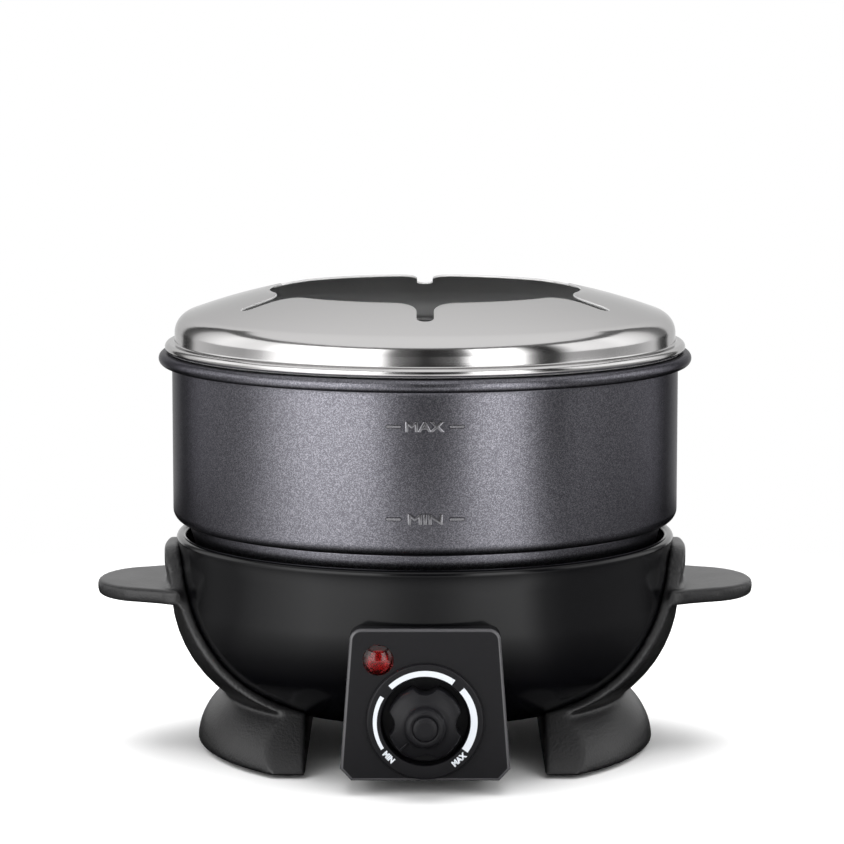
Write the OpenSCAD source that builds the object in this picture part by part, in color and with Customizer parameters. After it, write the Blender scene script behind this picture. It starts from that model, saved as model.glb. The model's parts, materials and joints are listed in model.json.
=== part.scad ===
// Electric fondue pot: a base with a heated plate, a lift-out pot and a lift-off notched lid.
// Millimetres, +Z up. The origin is on the table, in the middle of the footprint. The controls face -Y.

/* [Pot] */
// Outside diameter of the pot's straight wall
pot_d = 201.4; // [180:0.2:230]
// Height of the pot from its flat bottom to the top of its rim
pot_h = 82.6; // [65:0.2:110]
// Sheet thickness of the pot
pot_t = 1.4; // [1:0.1:2]
// Height of the stepped-in lower section
pot_foot_h = 15.5; // [13:0.5:20]
// How far the lower section steps in from the straight wall
pot_step = 6; // [5:0.2:8]
// Slope of the lower section's side, in degrees
pot_draft = 15; // [5:1:20]
// Radius of the shoulder above the step
pot_shoulder_r = 4.5; // [3:0.5:5]
// Radius of the corner round the pot's bottom
pot_corner_r = 7; // [4:0.5:9]
// Thickness of the rolled rim
pot_bead_d = 5; // [4:0.2:6]
// How far the middle of the rolled rim stands out from the wall
pot_bead_out = 2.8; // [2.2:0.1:4]

/* [Lid] */
// Sheet thickness of the lid
lid_t = 0.9; // [0.7:0.1:1.2]
// Play between the lid's skirt and the inside of the pot
lid_play = 0.8; // [0.5:0.1:1.5]
// Depth of the skirt below the middle of the folded bead
lid_skirt_h = 9; // [6:0.5:14]
// Thickness of the folded bead that rests on the pot's rim
lid_bead_d = 3.6; // [3:0.2:5]
// How far the folded bead stands out from the skirt
lid_bead_out = 5; // [4:0.1:7]
// How far the lid's wall stands out from the skirt
lid_wall_out = 1.1; // [0.6:0.1:2]
// Height from the middle of the bead to the start of the shoulder
lid_wall_h = 5.4; // [4:0.2:10]
// Radius of the lid's shoulder
lid_shoulder_r = 8.5; // [5:0.5:12]
// Angle round the shoulder at which the dome takes over
lid_brow_angle = 70; // [60:1:75]
// Radius of the dome's arch
lid_dome_r = 231; // [180:1:400]
// Diameter of the opening in the lid
lid_hole_d = 124; // [100:1:136]
// Number of fork notches round the opening
notch_count = 6; // [4:1:8]
// Width of a fork notch
notch_w = 6.5; // [5:0.5:9]
// Length of a fork notch, from the edge of the opening to its round end
notch_len = 20; // [15:0.5:24]
// Radius that eases the corners where a notch opens
notch_flare_r = 11; // [6:0.5:13]

/* [Base bowl] */
// Height of the bowl's rim above the table
bowl_top = 84.7; // [78:0.1:100]
// Height of the bowl's flat bottom above the table
bowl_floor = 16.5; // [15:0.5:22]
// Wall thickness of the bowl
bowl_t = 2; // [1.6:0.1:2.6]
// Radius of the rounding between the bowl's bottom and its side
knuckle_r = 45; // [40:0.5:50]
// How much the bowl's side draws in from the rim to the rounding
bowl_draft = 0.6; // [0.2:0.1:2]
// Thickness of the bowl's rounded rim
rim_d = 4; // [3.4:0.1:5]
// How far the rim stands proud of the bowl's side
rim_proud = 1; // [0.4:0.1:1.4]
// Gap round the pot's lower section inside the rim
well_gap = 0.7; // [0.5:0.1:2]
// Radius of the wiring opening in the bowl's bottom
access_r = 28; // [24:0.5:29]

/* [Heating plate] */
// Depth of the plate's top below the bowl's rim
plate_drop = 10.1; // [8:0.1:14]
// Thickness of the heating plate
plate_t = 7.4; // [6.5:0.1:10]
// Gap between the plate's edge and the bowl's rim
plate_gap = 0.4; // [0.3:0.1:1]
// Diameter of the machined contact disc
disc_d = 136; // [126:1:150]
// How far the rough ring lies below the contact disc
ring_drop = 0.5; // [0.3:0.1:1.5]
// Width of the raised lip round the plate's edge
plate_lip_w = 8; // [6:0.5:9]
// Height of that lip over the disc
plate_lip_rise = 1.6; // [0.8:0.1:2]
// Height of the bosses under the plate
boss_h = 3; // [2:0.5:5]
// Radius of the circle of screws that hold the plate
plate_screw_pcd_r = 44; // [42.5:0.5:46]
// Diameter of the screws that hold the plate
plate_screw_d = 4; // [3:0.5:4]
// Radius of the heating element's ring
element_r = 60; // [56:0.5:62]
// Diameter of the heating element's tube
element_d = 6.6; // [5.5:0.1:7.5]
// Half of the gap between the element's ends, in degrees
element_gap_angle = 16; // [12:1:24]
// Diameter of the element's terminal pins
pin_d = 4; // [3:0.5:4.5]
// Height of the heat reflector above the table
reflector_z = 47; // [44:0.5:52]
// Sheet thickness of the heat reflector
reflector_t = 0.8; // [0.6:0.1:1.2]
// Radius of the heat reflector
reflector_r = 84; // [76:0.5:88]
// Height of the heat reflector's turned-up edge
reflector_edge = 7; // [4:0.5:9]
// Outside diameter of the spacers on the plate's screws
spacer_d = 9; // [7.5:0.5:10]
// Diameter of the temperature sensor's bulb
bulb_d = 5; // [4:0.5:5.5]
// Length of the temperature sensor's bulb
bulb_len = 46; // [36:1:50]
// Diameter of the thermal fuse
fuse_d = 4; // [3.5:0.5:5]
// Length of the thermal fuse
fuse_len = 12; // [11:0.5:15]

/* [Side frames] */
// Wall thickness of a side frame's strap
frame_t = 4; // [3.2:0.1:5]
// How far the strap's top lip stands out from the bowl
lip_out = 6; // [5:0.1:8]
// Height of the strap's top lip
lip_h = 8; // [5:0.5:10]
// Depth of the strap's top below the bowl's rim
frame_drop = 4.7; // [4.2:0.1:8]
// Length of the strap's top, front to back
frame_top_len = 26; // [24:0.5:34]
// Radius of the strap's top corners
frame_top_r = 9; // [5:0.5:12]
// Length of the frame, front to back, where the strap meets the leg
frame_leg_len = 116; // [100:1:120]
// Height at which the strap meets the leg
frame_leg_h = 23; // [20:0.5:26]
// Length of the foot at the table, front to back
foot_len = 142; // [134:1:146]
// Distance of a foot's inner wall from the middle of the object
foot_in = 46; // [44:0.5:47]
// How far a foot's dome reaches from the bowl's axis
foot_reach = 91.5; // [88:0.5:95]
// Radius of a foot's dome
dome_r = 25; // [22:0.5:28]
// Wall thickness of the hollow foot
foot_wall = 3; // [2:0.5:3.5]
// Thickness of a handle
handle_t = 5.8; // [5:0.2:8]
// Height of a handle's underside above the table
handle_z = 59.4; // [54:0.2:62]
// How far a handle's tip reaches from the bowl's axis
handle_reach = 131.6; // [122:0.2:145]
// Radius of a handle's round tip
handle_tip_r = 22; // [16:0.5:25]
// Width of a handle where it leaves the strap
handle_root_w = 54; // [44:0.5:58]
// Diameter of the screws that hold the frames
frame_screw_d = 3; // [2.5:0.5:3.5]
// Thickness of a rubber foot below its frame
pad_t = 1.2; // [1:0.1:3]
// Diameter of a rubber foot
pad_d = 13; // [10:0.5:14]
// Distance of the rubber feet from the middle, sideways
pad_x = 57; // [56:0.5:58]
// Distance of the rubber feet from the bowl's axis, front to back
pad_y = 57; // [54:0.5:59]

/* [Control box] */
// How far the panel's face stands out from the bowl's side
panel_out = 4.6; // [4:0.1:8]
// Height of the box's underside above the table
housing_z = 5.5; // [4:0.5:7]
// Height of the control box
housing_h = 58; // [54:0.5:60]
// Width of the panel at its top
panel_top_w = 56; // [52:0.5:62]
// Width of the panel at its bottom
panel_bottom_w = 64.6; // [60:0.2:70]
// Radius of the panel's top corners
panel_corner_r = 4.5; // [3:0.5:7]
// Size of the cut across the panel's bottom corners
panel_cut = 4.5; // [3:0.5:6]
// Size of the bevel round the panel's face
panel_bevel = 1.4; // [0.6:0.1:2]
// Thickness of the panel
panel_t = 3; // [2.5:0.1:3.6]
// Thickness of the box's other walls
housing_wall = 2.5; // [2:0.1:3]
// Distance of the box's back wall from the bowl's axis
housing_back = 62; // [58:0.5:64]
// Thickness of the tongue that fastens the box under the bowl
tongue_t = 4; // [3:0.5:5]
// Diameter of the screws that hold the box
housing_screw_d = 3; // [2.5:0.5:3.5]

/* [Controls] */
// Height of the dial's middle above the table
dial_z = 28.4; // [27.8:0.1:29]
// Outside diameter of the dial ring
dial_d = 44; // [42:0.2:44.6]
// Diameter of the well inside the dial ring
well_d = 33; // [30:0.2:34]
// How far the dial ring stands proud of the panel
dial_proud = 2; // [1:0.1:3]
// Depth of the well behind the panel's face
well_depth = 4.5; // [4:0.1:5.5]
// Diameter of the knob
knob_d = 28; // [26:0.2:29]
// How far the knob stands out of the dial ring
knob_out = 13; // [9:0.5:18]
// Number of grip flutes round the knob
flute_count = 4; // [3:1:8]
// Radius of a grip flute
flute_r = 6; // [5:0.5:10]
// Depth of a grip flute
flute_depth = 2.6; // [1:0.1:2.8]
// Diameter of the raised boss on the knob's face
knob_boss_d = 9; // [7:0.2:10]
// Diameter of the thermostat's spindle
spindle_d = 6; // [5:0.2:6.4]
// Width of the thermostat
thermostat_w = 30; // [28:0.5:31]
// Height of the thermostat
thermostat_h = 25; // [22:0.5:26]
// Depth of the thermostat
thermostat_depth = 15; // [12:0.5:16]
// Diameter of the indicator lens
lens_d = 11.2; // [9:0.2:12]
// Distance of the indicator lens from the middle of the panel
lens_x = 17.6; // [16.5:0.1:18.5]
// Distance of the indicator lens below the top of the box
lens_drop = 11.8; // [11:0.1:12.5]

/* [Hidden] */
$fn = 96;

// Steps used along one arc of a turned outline
arc_steps = 12;
// Extra length that carries a cut past the face it opens
over = 1;
// Clearance between curved shells that hug each other
hug = 0.15;
// Clearance of a fixed screw, pin or stem in its hole, on the radius
hole_play = 0.15;
// Running clearance of a turning shaft, on the radius
shaft_play = 0.08;
// Height of the gap between the lid's bead and the pot's rim
lid_seat_gap = 0.3;
// Thickness of a flange, clip strap or screw head's rim
flange_t = 1.5;
// Length of thread that holds a screw in plastic, and in the plate
thread_len = 9;
plate_thread_len = 7;
plate_lip_flat = 1.5;
// Wall of a moulded boss round its screw or plug
boss_wall = 2.5;

// Pot
pot_r = pot_d / 2;
pot_in_r = pot_r - pot_t;
pot_step_r = pot_r - pot_step;
pot_corner_c = pot_step_r + ((pot_corner_r - pot_foot_h) * sin(pot_draft) - pot_corner_r) / cos(pot_draft);
pot_bead_r = pot_r + pot_bead_out;
pot_rim_r = pot_bead_r + pot_bead_d / 2;
rim_roll_r = pot_bead_d / 2;

// Bowl
rim_in_r = pot_step_r + well_gap;
rim_c = rim_in_r + rim_d / 2;
rim_z = bowl_top - rim_d / 2;
bowl_r = rim_c + rim_d / 2 - rim_proud;
knuckle_c = bowl_r - bowl_draft - knuckle_r;
knuckle_z = bowl_floor + knuckle_r;
bowl_inside_z = bowl_floor + bowl_t;

// Heating plate
plate_top = bowl_top - plate_drop;
plate_bottom = plate_top - plate_t;
plate_r = rim_in_r - plate_gap;
boss_z = plate_bottom - boss_h;
boss_d = spacer_d + 2 * over;
plate_screw_angles = [90, 210, 330];
plate_screw_head_d = 1.9 * plate_screw_d;
plate_screw_head_h = 0.65 * plate_screw_d;
plate_screw_len = boss_z + plate_thread_len - bowl_floor;
insulator_wall = 2;
insulator_d = pin_d + 2 * insulator_wall;
insulator_len = 9;
insulator_z = reflector_z - insulator_len / 3;
pin_end = 3;
pin_z = insulator_z - pin_end;
// The pins stand a tube's width in from the element's ends
function pin_angle(side) = side * (element_gap_angle + asin(element_d / element_r)) - 90;
sensor_y = -27;
sensor_z = plate_bottom - hug - bulb_d / 2;
fuse_y = 24;
clip_w = 6;
clip_t = 0.8;
clip_foot = 4.5;
clip_screw_d = 2.5;
clip_screw_head_d = 1.6 * clip_screw_d;
clip_screw_len = 3;
function clip_screw_y(d) = d / 2 + hole_play + clip_t + clip_foot / 2;

// Pot and lid in place
pot_z = plate_top;
pot_top = pot_z + pot_h;
lid_skirt_r = pot_in_r - lid_play;
lid_wall_r = lid_skirt_r + lid_wall_out;
lid_bead_c = lid_skirt_r + lid_bead_out - lid_bead_d / 2;
lid_z = pot_top + lid_seat_gap + lid_bead_d / 2;
lid_hole_r = lid_hole_d / 2;
// How far the rounding of a notch's mouth runs on inside the edge of the opening
flare_dip = 0.4;
shoulder_c = [lid_wall_r - lid_shoulder_r, lid_wall_h];
brow = [cos(lid_brow_angle), sin(lid_brow_angle)];
dome_c = shoulder_c + (lid_shoulder_r - lid_dome_r) * brow;
function dome_end(r) = acos((lid_hole_r - dome_c[0]) / r);

// Side frames
frame_top = bowl_top - frame_drop;
lip_r = bowl_r + lip_out;
foot_dome_c = foot_reach - dome_r;
// Angle round the bowl's rounding at which the strap starts to lean out to its lip
strap_end_angle = -5;
// How far the corner that draws the strap's edge lies from the neck, and above the leg
frame_bend = [13, 21];
frame_screw_x = foot_in + foot_wall + frame_screw_d / 2;
frame_screw_z = handle_z + handle_t / 2;
screw_head_d = 2 * frame_screw_d;
screw_head_h = 0.7 * frame_screw_d;
frame_boss_d = frame_screw_d + 2 * boss_wall;
pad_plug_d = 5;
pad_plug_len = 5;
pad_boss_d = pad_plug_d + 2 * boss_wall;
lip_corner_r = 2;
// Angle by which a handle's sides draw together towards its tip
handle_lean = 10;

// Wiring
cover_lap = 9;
cover_r = access_r + cover_lap;
cover_t = 2;
cover_screw_r = access_r + cover_lap / 2;
cover_screw_d = 3;
cover_screw_angles = [30, 150, 270];
cover_screw_head_d = 1.9 * cover_screw_d;
cover_screw_head_h = 0.65 * cover_screw_d;
cover_screw_end = 4;
cover_screw_len = cover_t + bowl_t + cover_screw_end;
slot_count = 12;
slot_len = 8;
slot_w = 2;
slot_r = access_r - slot_len - over;
block_poles = 3;
block_size = [30, 14, 12];
block_hole_d = 5;
block_hole_depth = 5;
block_top = bowl_floor + block_size[2];
lead_d = 2.6;
lead_rise = 5;
lead_z = block_top + lead_rise;
// The sides of a wire's outline, and a direction that no wire runs along
wire_sides = 8;
wire_lean = [0.36, 0.48, 0.8];
capillary_d = 2;
capillary_turn = [26, -40];
gland_z = 31;
gland_d = 11;
gland_bore_d = 7;
gland_inside = 12;
gland_nose = 9;
gland_flange_d = 18;
gland_seat_y = knuckle_c + sqrt(pow(knuckle_r, 2) - pow(knuckle_z - gland_z, 2));

// Control box
panel_y = -(bowl_r + panel_out);
housing_top = housing_z + housing_h;
housing_screw_head_d = 2 * housing_screw_d;
housing_screw_head_h = 0.7 * housing_screw_d;
tongue_back = cover_r + over;
tongue_margin = 8;
tongue_screw_y = -(tongue_back + tongue_margin);
tongue_screw_x = 18;
tongue_z = bowl_floor - hug - tongue_t;
dial_face = panel_y - dial_proud;
well_y = panel_y + well_depth;
well_floor_t = 2;
well_back = well_y + well_floor_t;
dial_wall = 1.2;
dial_tube_d = well_d + 2 * dial_wall;
dial_hole_d = spindle_d + 2 * over;
window_gap = 4;
window_w = thermostat_w + 2 * window_gap;
window_h = thermostat_h + 2 * window_gap;
thermostat_back = well_back + thermostat_depth;
thermostat_bore_y = well_back + thermostat_depth / 2;
thermostat_screw_x = 8;
thermostat_screw_d = 3;
thermostat_screw_head_d = 5.2;
knob_front = dial_face - knob_out;
knob_gap = 0.9;
knob_back = well_y - flange_t - knob_gap;
knob_face_t = 5;
knob_bore_y = knob_front + knob_face_t;
knob_skirt_h = 7;
knob_slope_h = 3.7;
knob_bell_d = 15;
knob_crown = 0.7;
// Angle of the lowest setting, clockwise from nine o'clock as seen from the front
lowest_angle = -45;
pointer_len = 4;
pointer_w = 1;
pointer_proud = 0.6;
lens_pos = [-lens_x, housing_top - lens_drop];
lens_flange = 0.9;
lens_wall = 1.2;
lens_stem_d = lens_d - 2 * lens_flange;
lens_bore_d = lens_stem_d - 2 * lens_wall;
lens_back = panel_y + panel_t + 2 * lens_wall;
lens_crown = 3;
lamp_clip_d = lens_d + 2 * flange_t;

// Bowl axis, set back so that the knob's face and the pot's rim lie equally far from the origin
axis_y = (-knob_front - pot_rim_r) / 2;

// Points along an arc, from angle a0 to angle a1
function arc(c, r, a0, a1) =
    [for (i = [0:arc_steps]) let (a = a0 + (a1 - a0) * i / arc_steps) c + r * [cos(a), sin(a)]];

// Points along a curve from p to r, drawn towards q
function bend(p, q, r) =
    [for (i = [0:arc_steps]) let (t = i / arc_steps, u = 1 - t) u * u * p + 2 * t * u * q + t * t * r];

function mirrored(points) = [for (i = [len(points) - 1:-1:0]) [-points[i][0], points[i][1]]];
function polar(r, a) = [r * cos(a), r * sin(a), 0];

// Places a shape on the bowl's axis
module on_axis() translate([0, axis_y, 0]) children();

// Extrudes an outline drawn in X and Z from y0 back to y1
module along_y(y0, y1) translate([0, y1, 0]) rotate([90, 0, 0]) linear_extrude(y1 - y0) children();

// Extrudes an outline drawn in Y and Z across the whole left side
module along_x(length) rotate([90, 0, 90]) translate([0, 0, -length]) linear_extrude(length) children();

// A round bar along Y, from y0 back to y1, at x and z
module rod_y(x, z, y0, y1, d) translate([x, y0, z]) rotate([-90, 0, 0]) cylinder(d = d, h = y1 - y0);

// A screw standing on its head, with the head's seat at z = 0 and the shank above
module screw(d, head_d, head_h, length) {
    translate([0, 0, -head_h]) cylinder(d = head_d, h = head_h);
    translate([0, 0, -head_h]) cylinder(d = d, h = head_h + length);
}

// A route with its corners cut twice, so that a wire bends softly along it
function cut_corners(p) = concat(
    [p[0]],
    [for (i = [0:len(p) - 2]) for (t = [0.25, 0.75]) (1 - t) * p[i] + t * p[i + 1]],
    [p[len(p) - 1]]);
function soft_route(p) = cut_corners(cut_corners(p));

// One ring of a wire's surface, square to the route at point i
function wire_ring(p, i, d) =
    let (run = p[min(i + 1, len(p) - 1)] - p[max(i - 1, 0)],
         u = cross(run, wire_lean),
         v = cross(run, u))
    [for (k = [0:wire_sides - 1])
        p[i] + d / 2 * (cos(k * 360 / wire_sides) * u / norm(u) + sin(k * 360 / wire_sides) * v / norm(v))];

// A round wire swept along a route
module wire(points, d) {
    route = soft_route(points);
    last = len(route) - 1;
    polyhedron(
        [for (i = [0:last]) each wire_ring(route, i, d)],
        concat(
            [[for (k = [0:wire_sides - 1]) k]],
            [for (i = [0:last - 1]) for (k = [0:wire_sides - 1])
                let (a = i * wire_sides + k, b = i * wire_sides + (k + 1) % wire_sides)
                each [[a, a + wire_sides, b], [b, a + wire_sides, b + wire_sides]]],
            [[for (k = [wire_sides - 1:-1:0]) last * wire_sides + k]]));
}

// Lid

module lid_section() {
    outside = concat(
        [[lid_skirt_r, -lid_skirt_h], [lid_skirt_r, -lid_bead_d / 2]],
        arc([lid_bead_c, 0], lid_bead_d / 2, -90, 90),
        [[lid_wall_r, lid_bead_d / 2]],
        arc(shoulder_c, lid_shoulder_r, 0, lid_brow_angle),
        arc(dome_c, lid_dome_r, lid_brow_angle, dome_end(lid_dome_r)));
    inside = concat(
        arc(dome_c, lid_dome_r - lid_t, dome_end(lid_dome_r - lid_t), lid_brow_angle),
        arc(shoulder_c, lid_shoulder_r - lid_t, lid_brow_angle, 0),
        [[lid_wall_r - lid_t, lid_bead_d / 2 - lid_t]],
        arc([lid_bead_c, 0], lid_bead_d / 2 - lid_t, 90, -90),
        [[lid_skirt_r - lid_t, lid_t - lid_bead_d / 2], [lid_skirt_r - lid_t, -lid_skirt_h]]);
    polygon(concat(outside, inside));
}

// Plan of one fork notch, opening towards the middle, pointing along +X
module notch_plan() {
    end_r = lid_hole_r + notch_len - notch_w / 2;
    flare_y = notch_w / 2 + notch_flare_r;
    flare_x = sqrt(pow(lid_hole_r + notch_flare_r - flare_dip, 2) - flare_y * flare_y);
    flare_angle = atan2(flare_y, flare_x);
    edge = arc([flare_x, flare_y], notch_flare_r, 180 + flare_angle, 270);
    polygon(concat(
        [[lid_hole_r - notch_flare_r, edge[0][1]]],
        edge,
        arc([end_r, 0], notch_w / 2, 90, -90),
        [for (i = [len(edge) - 1:-1:0]) [edge[i][0], -edge[i][1]]],
        [[lid_hole_r - notch_flare_r, -edge[0][1]]]));
}

module lid_shell() color("Silver") on_axis() translate([0, 0, lid_z])
    difference() {
        rotate_extrude() lid_section();
        for (i = [0:notch_count - 1])
            rotate([0, 0, i * 360 / notch_count - 90])
                translate([0, 0, lid_wall_h]) linear_extrude(lid_dome_r / 4) notch_plan();
    }

// Pot

module pot_section() {
    step_in = pot_step_r + pot_t * (sin(pot_draft) - 1) / cos(pot_draft);
    shoulder = [pot_r - pot_shoulder_r, pot_foot_h + pot_shoulder_r];
    corner = [pot_corner_c, pot_corner_r];
    bead = [pot_bead_r, pot_h - pot_bead_d / 2];
    curl = arc(bead, pot_bead_d / 2, -150, 90);
    outside = concat(
        [[0, 0]],
        arc(corner, pot_corner_r, -90, -pot_draft),
        [[pot_step_r, pot_foot_h]],
        arc(shoulder, pot_shoulder_r, -90, 0),
        [[pot_r, curl[0][1]]],
        curl);
    inside = concat(
        arc([pot_in_r + rim_roll_r, pot_h - rim_roll_r], rim_roll_r, 90, 180),
        arc(shoulder, pot_shoulder_r - pot_t, 0, -90),
        [[step_in, pot_foot_h + pot_t]],
        arc(corner, pot_corner_r - pot_t, -pot_draft, -90),
        [[0, pot_t]]);
    polygon(concat(outside, inside));
}

module pot_shell() color("DimGray") on_axis() translate([0, 0, pot_z]) rotate_extrude() pot_section();

// Base bowl

// The bowl's outline filled to the axis, grown outwards by g, up to the height top
module bowl_fill(g, top) {
    polygon(concat(
        [[0, bowl_floor - g]],
        arc([knuckle_c, knuckle_z], knuckle_r + g, -90, 0),
        [[bowl_r + g, top], [0, top]]));
}

module bowl_solid(g) rotate_extrude() bowl_fill(g, rim_z);

module base_bowl() color("Black") on_axis()
    difference() {
        rotate_extrude() union() {
            difference() {
                bowl_fill(0, rim_z);
                bowl_fill(-bowl_t, rim_z + over);
                square([access_r, bowl_inside_z + over]);
            }
            translate([rim_c, rim_z]) circle(d = rim_d);
        }
        // Window behind the control box, round the thermostat
        translate([-window_w / 2, panel_y, dial_z - window_h / 2])
            cube([window_w, thermostat_back + window_gap - panel_y, window_h]);
        rod_y(0, gland_z, 0, bowl_r + over, gland_d + 2 * hole_play);
        for (a = plate_screw_angles) floor_hole(polar(plate_screw_pcd_r, a), plate_screw_d);
        for (a = cover_screw_angles) floor_hole(polar(cover_screw_r, a), cover_screw_d);
        for (side = [-1, 1]) {
            floor_hole([side * frame_screw_x, 0, 0], frame_screw_d);
            floor_hole([side * tongue_screw_x, tongue_screw_y, 0], housing_screw_d);
            translate([side * (bowl_r - 3 * bowl_t), 0, frame_screw_z]) rotate([0, side * 90, 0])
                cylinder(d = frame_screw_d + 2 * hole_play, h = 4 * bowl_t);
        }
    }

// A screw hole through the bowl's bottom
module floor_hole(at, d) translate(at + [0, 0, bowl_floor - over])
    cylinder(d = d + 2 * hole_play, h = bowl_t + 2 * over);

// Heating plate and what hangs under it

module heating_plate() color("LightGray") on_axis()
    difference() {
        union() {
            rotate_extrude() polygon([
                [0, plate_bottom],
                [plate_r - ring_drop, plate_bottom],
                [plate_r, plate_bottom + ring_drop],
                [plate_r, plate_top + plate_lip_rise - ring_drop],
                [plate_r - ring_drop, plate_top + plate_lip_rise],
                [plate_r - plate_lip_flat, plate_top + plate_lip_rise],
                [plate_r - plate_lip_w, plate_top - ring_drop],
                [disc_d / 2 + ring_drop, plate_top - ring_drop],
                [disc_d / 2, plate_top],
                [0, plate_top]]);
            for (a = plate_screw_angles)
                translate(polar(plate_screw_pcd_r, a) + [0, 0, boss_z])
                    cylinder(d = boss_d, h = boss_h + over);
        }
        translate([0, 0, plate_bottom])
            rotate_extrude() translate([element_r, 0]) circle(d = element_d + 2 * hole_play);
        for (a = plate_screw_angles)
            translate(polar(plate_screw_pcd_r, a) + [0, 0, boss_z - over])
                cylinder(d = plate_screw_d + 2 * hole_play, h = over + plate_thread_len + hole_play);
        translate([0, sensor_y, plate_bottom]) clip_holes(bulb_d);
        translate([0, fuse_y, plate_bottom]) clip_holes(fuse_d);
    }

module clip_holes(d) for (side = [-1, 1])
    translate([0, side * clip_screw_y(d), -over])
        cylinder(d = clip_screw_d + 2 * hole_play, h = over + clip_screw_len + hole_play);

module heating_element() color("DarkSlateGray") on_axis() translate([0, 0, plate_bottom]) {
    rotate([0, 0, element_gap_angle - 90])
        rotate_extrude(angle = 360 - 2 * element_gap_angle) translate([element_r, 0]) circle(d = element_d);
    at_pins() translate([0, 0, pin_z - plate_bottom]) cylinder(d = pin_d, h = plate_bottom - pin_z);
}

module at_pins() for (side = [-1, 1]) translate(polar(element_r, pin_angle(side))) children();

module element_insulators() color("Ivory") on_axis() at_pins()
    difference() {
        union() {
            translate([0, 0, insulator_z]) cylinder(d = insulator_d, h = insulator_len);
            translate([0, 0, reflector_z + reflector_t])
                cylinder(d = insulator_d + 2 * flange_t, h = flange_t);
        }
        translate([0, 0, insulator_z - over])
            cylinder(d = pin_d + 2 * hole_play, h = insulator_len + 2 * over);
    }

module heat_reflector() color("Gainsboro") on_axis()
    difference() {
        translate([0, 0, reflector_z]) rotate_extrude() polygon([
            [0, 0],
            [reflector_r - reflector_edge / 2, 0],
            [reflector_r, reflector_edge],
            [reflector_r - 1.2 * reflector_t, reflector_edge],
            [reflector_r - reflector_edge / 2 - reflector_t / 2, reflector_t],
            [0, reflector_t]]);
        for (a = plate_screw_angles)
            translate(polar(plate_screw_pcd_r, a) + [0, 0, reflector_z - over])
                cylinder(d = plate_screw_d + 2 * hole_play, h = reflector_t + 2 * over);
        at_pins() translate([0, 0, reflector_z - over])
            cylinder(d = insulator_d + 2 * hole_play, h = reflector_t + 2 * over);
        translate([capillary_turn[0], capillary_turn[1], reflector_z - over])
            cylinder(d = 2 * capillary_d, h = reflector_t + 2 * over);
    }

// Tubes on the plate's screws, from z0 up to z1
module spacers(z0, z1) on_axis() for (a = plate_screw_angles)
    translate(polar(plate_screw_pcd_r, a) + [0, 0, z0]) difference() {
        cylinder(d = spacer_d, h = z1 - z0);
        translate([0, 0, -over]) cylinder(d = plate_screw_d + 2 * hole_play, h = z1 - z0 + 2 * over);
    }

module upper_spacers() color("Silver") spacers(reflector_z + reflector_t, boss_z);
module lower_spacers() color("Silver") spacers(bowl_inside_z, reflector_z);

module plate_screws() color("DarkGray") on_axis() for (a = plate_screw_angles)
    translate(polar(plate_screw_pcd_r, a) + [0, 0, bowl_floor])
        screw(plate_screw_d, plate_screw_head_d, plate_screw_head_h, plate_screw_len);

module thermal_fuse() color("Goldenrod") on_axis()
    translate([-fuse_len / 2, fuse_y, plate_bottom - hug - fuse_d / 2]) rotate([0, 90, 0])
        cylinder(d = fuse_d, h = fuse_len);

module sensor_bulb() color("Peru") on_axis() {
    meet = [thermostat_w / 4, thermostat_back + 2 * hole_play, dial_z + thermostat_h / 6];
    low = lead_z - 3 * lead_d;
    translate([-bulb_len / 2, sensor_y, sensor_z]) rotate([0, 90, 0]) cylinder(d = bulb_d, h = bulb_len);
    wire([[bulb_len / 2 - over, sensor_y, sensor_z],
          [capillary_turn[0], sensor_y, sensor_z],
          [capillary_turn[0], capillary_turn[1], sensor_z],
          [capillary_turn[0], capillary_turn[1], low],
          [meet[0] + capillary_d, meet[1] + 9 * capillary_d, low + capillary_d],
          [meet[0], meet[1] + 3 * capillary_d, meet[2]],
          meet], capillary_d);
}

// A strap that holds a round body of diameter d against the plate, with its two screws
module plate_clip(d) {
    reach = clip_screw_y(d) + clip_foot / 2;
    loop_d = d + 2 * hole_play;
    middle = -hug - d / 2;
    translate([-clip_w / 2, 0, 0]) rotate([90, 0, 90]) linear_extrude(clip_w) difference() {
        union() {
            translate([0, middle]) circle(d = loop_d + 2 * clip_t);
            translate([-reach, -clip_t]) square([2 * reach, clip_t]);
        }
        translate([0, middle]) circle(d = loop_d);
        translate([-loop_d / 2, middle]) square([loop_d, d]);
        translate([-reach - over, 0]) square([2 * (reach + over), d]);
    }
    for (side = [-1, 1])
        translate([0, side * clip_screw_y(d), -clip_t])
            screw(clip_screw_d, clip_screw_head_d, flange_t, clip_t + clip_screw_len);
}

module plate_clips() color("LightSteelBlue") on_axis() {
    translate([0, sensor_y, plate_bottom]) plate_clip(bulb_d);
    translate([0, fuse_y, plate_bottom]) plate_clip(fuse_d);
}

// Underside and wiring

module bottom_cover() color("DimGray") on_axis() translate([0, 0, bowl_floor - cover_t])
    difference() {
        cylinder(r = cover_r, h = cover_t);
        for (a = cover_screw_angles)
            translate(polar(cover_screw_r, a) + [0, 0, -over])
                cylinder(d = cover_screw_d + 2 * hole_play, h = cover_t + 2 * over);
        // Cooling slots
        for (i = [0:slot_count - 1])
            rotate([0, 0, (i + 0.5) * 360 / slot_count])
                translate([slot_r, -slot_w / 2, -over]) cube([slot_len, slot_w, cover_t + 2 * over]);
    }

module cover_screws() color("DarkGray") on_axis() for (a = cover_screw_angles)
    translate(polar(cover_screw_r, a) + [0, 0, bowl_floor - cover_t])
        screw(cover_screw_d, cover_screw_head_d, cover_screw_head_h, cover_screw_len);

// Sideways place of a terminal, counted from the left
function pole_x(i) = block_size[0] * ((i + 0.5) / block_poles - 0.5);

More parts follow.
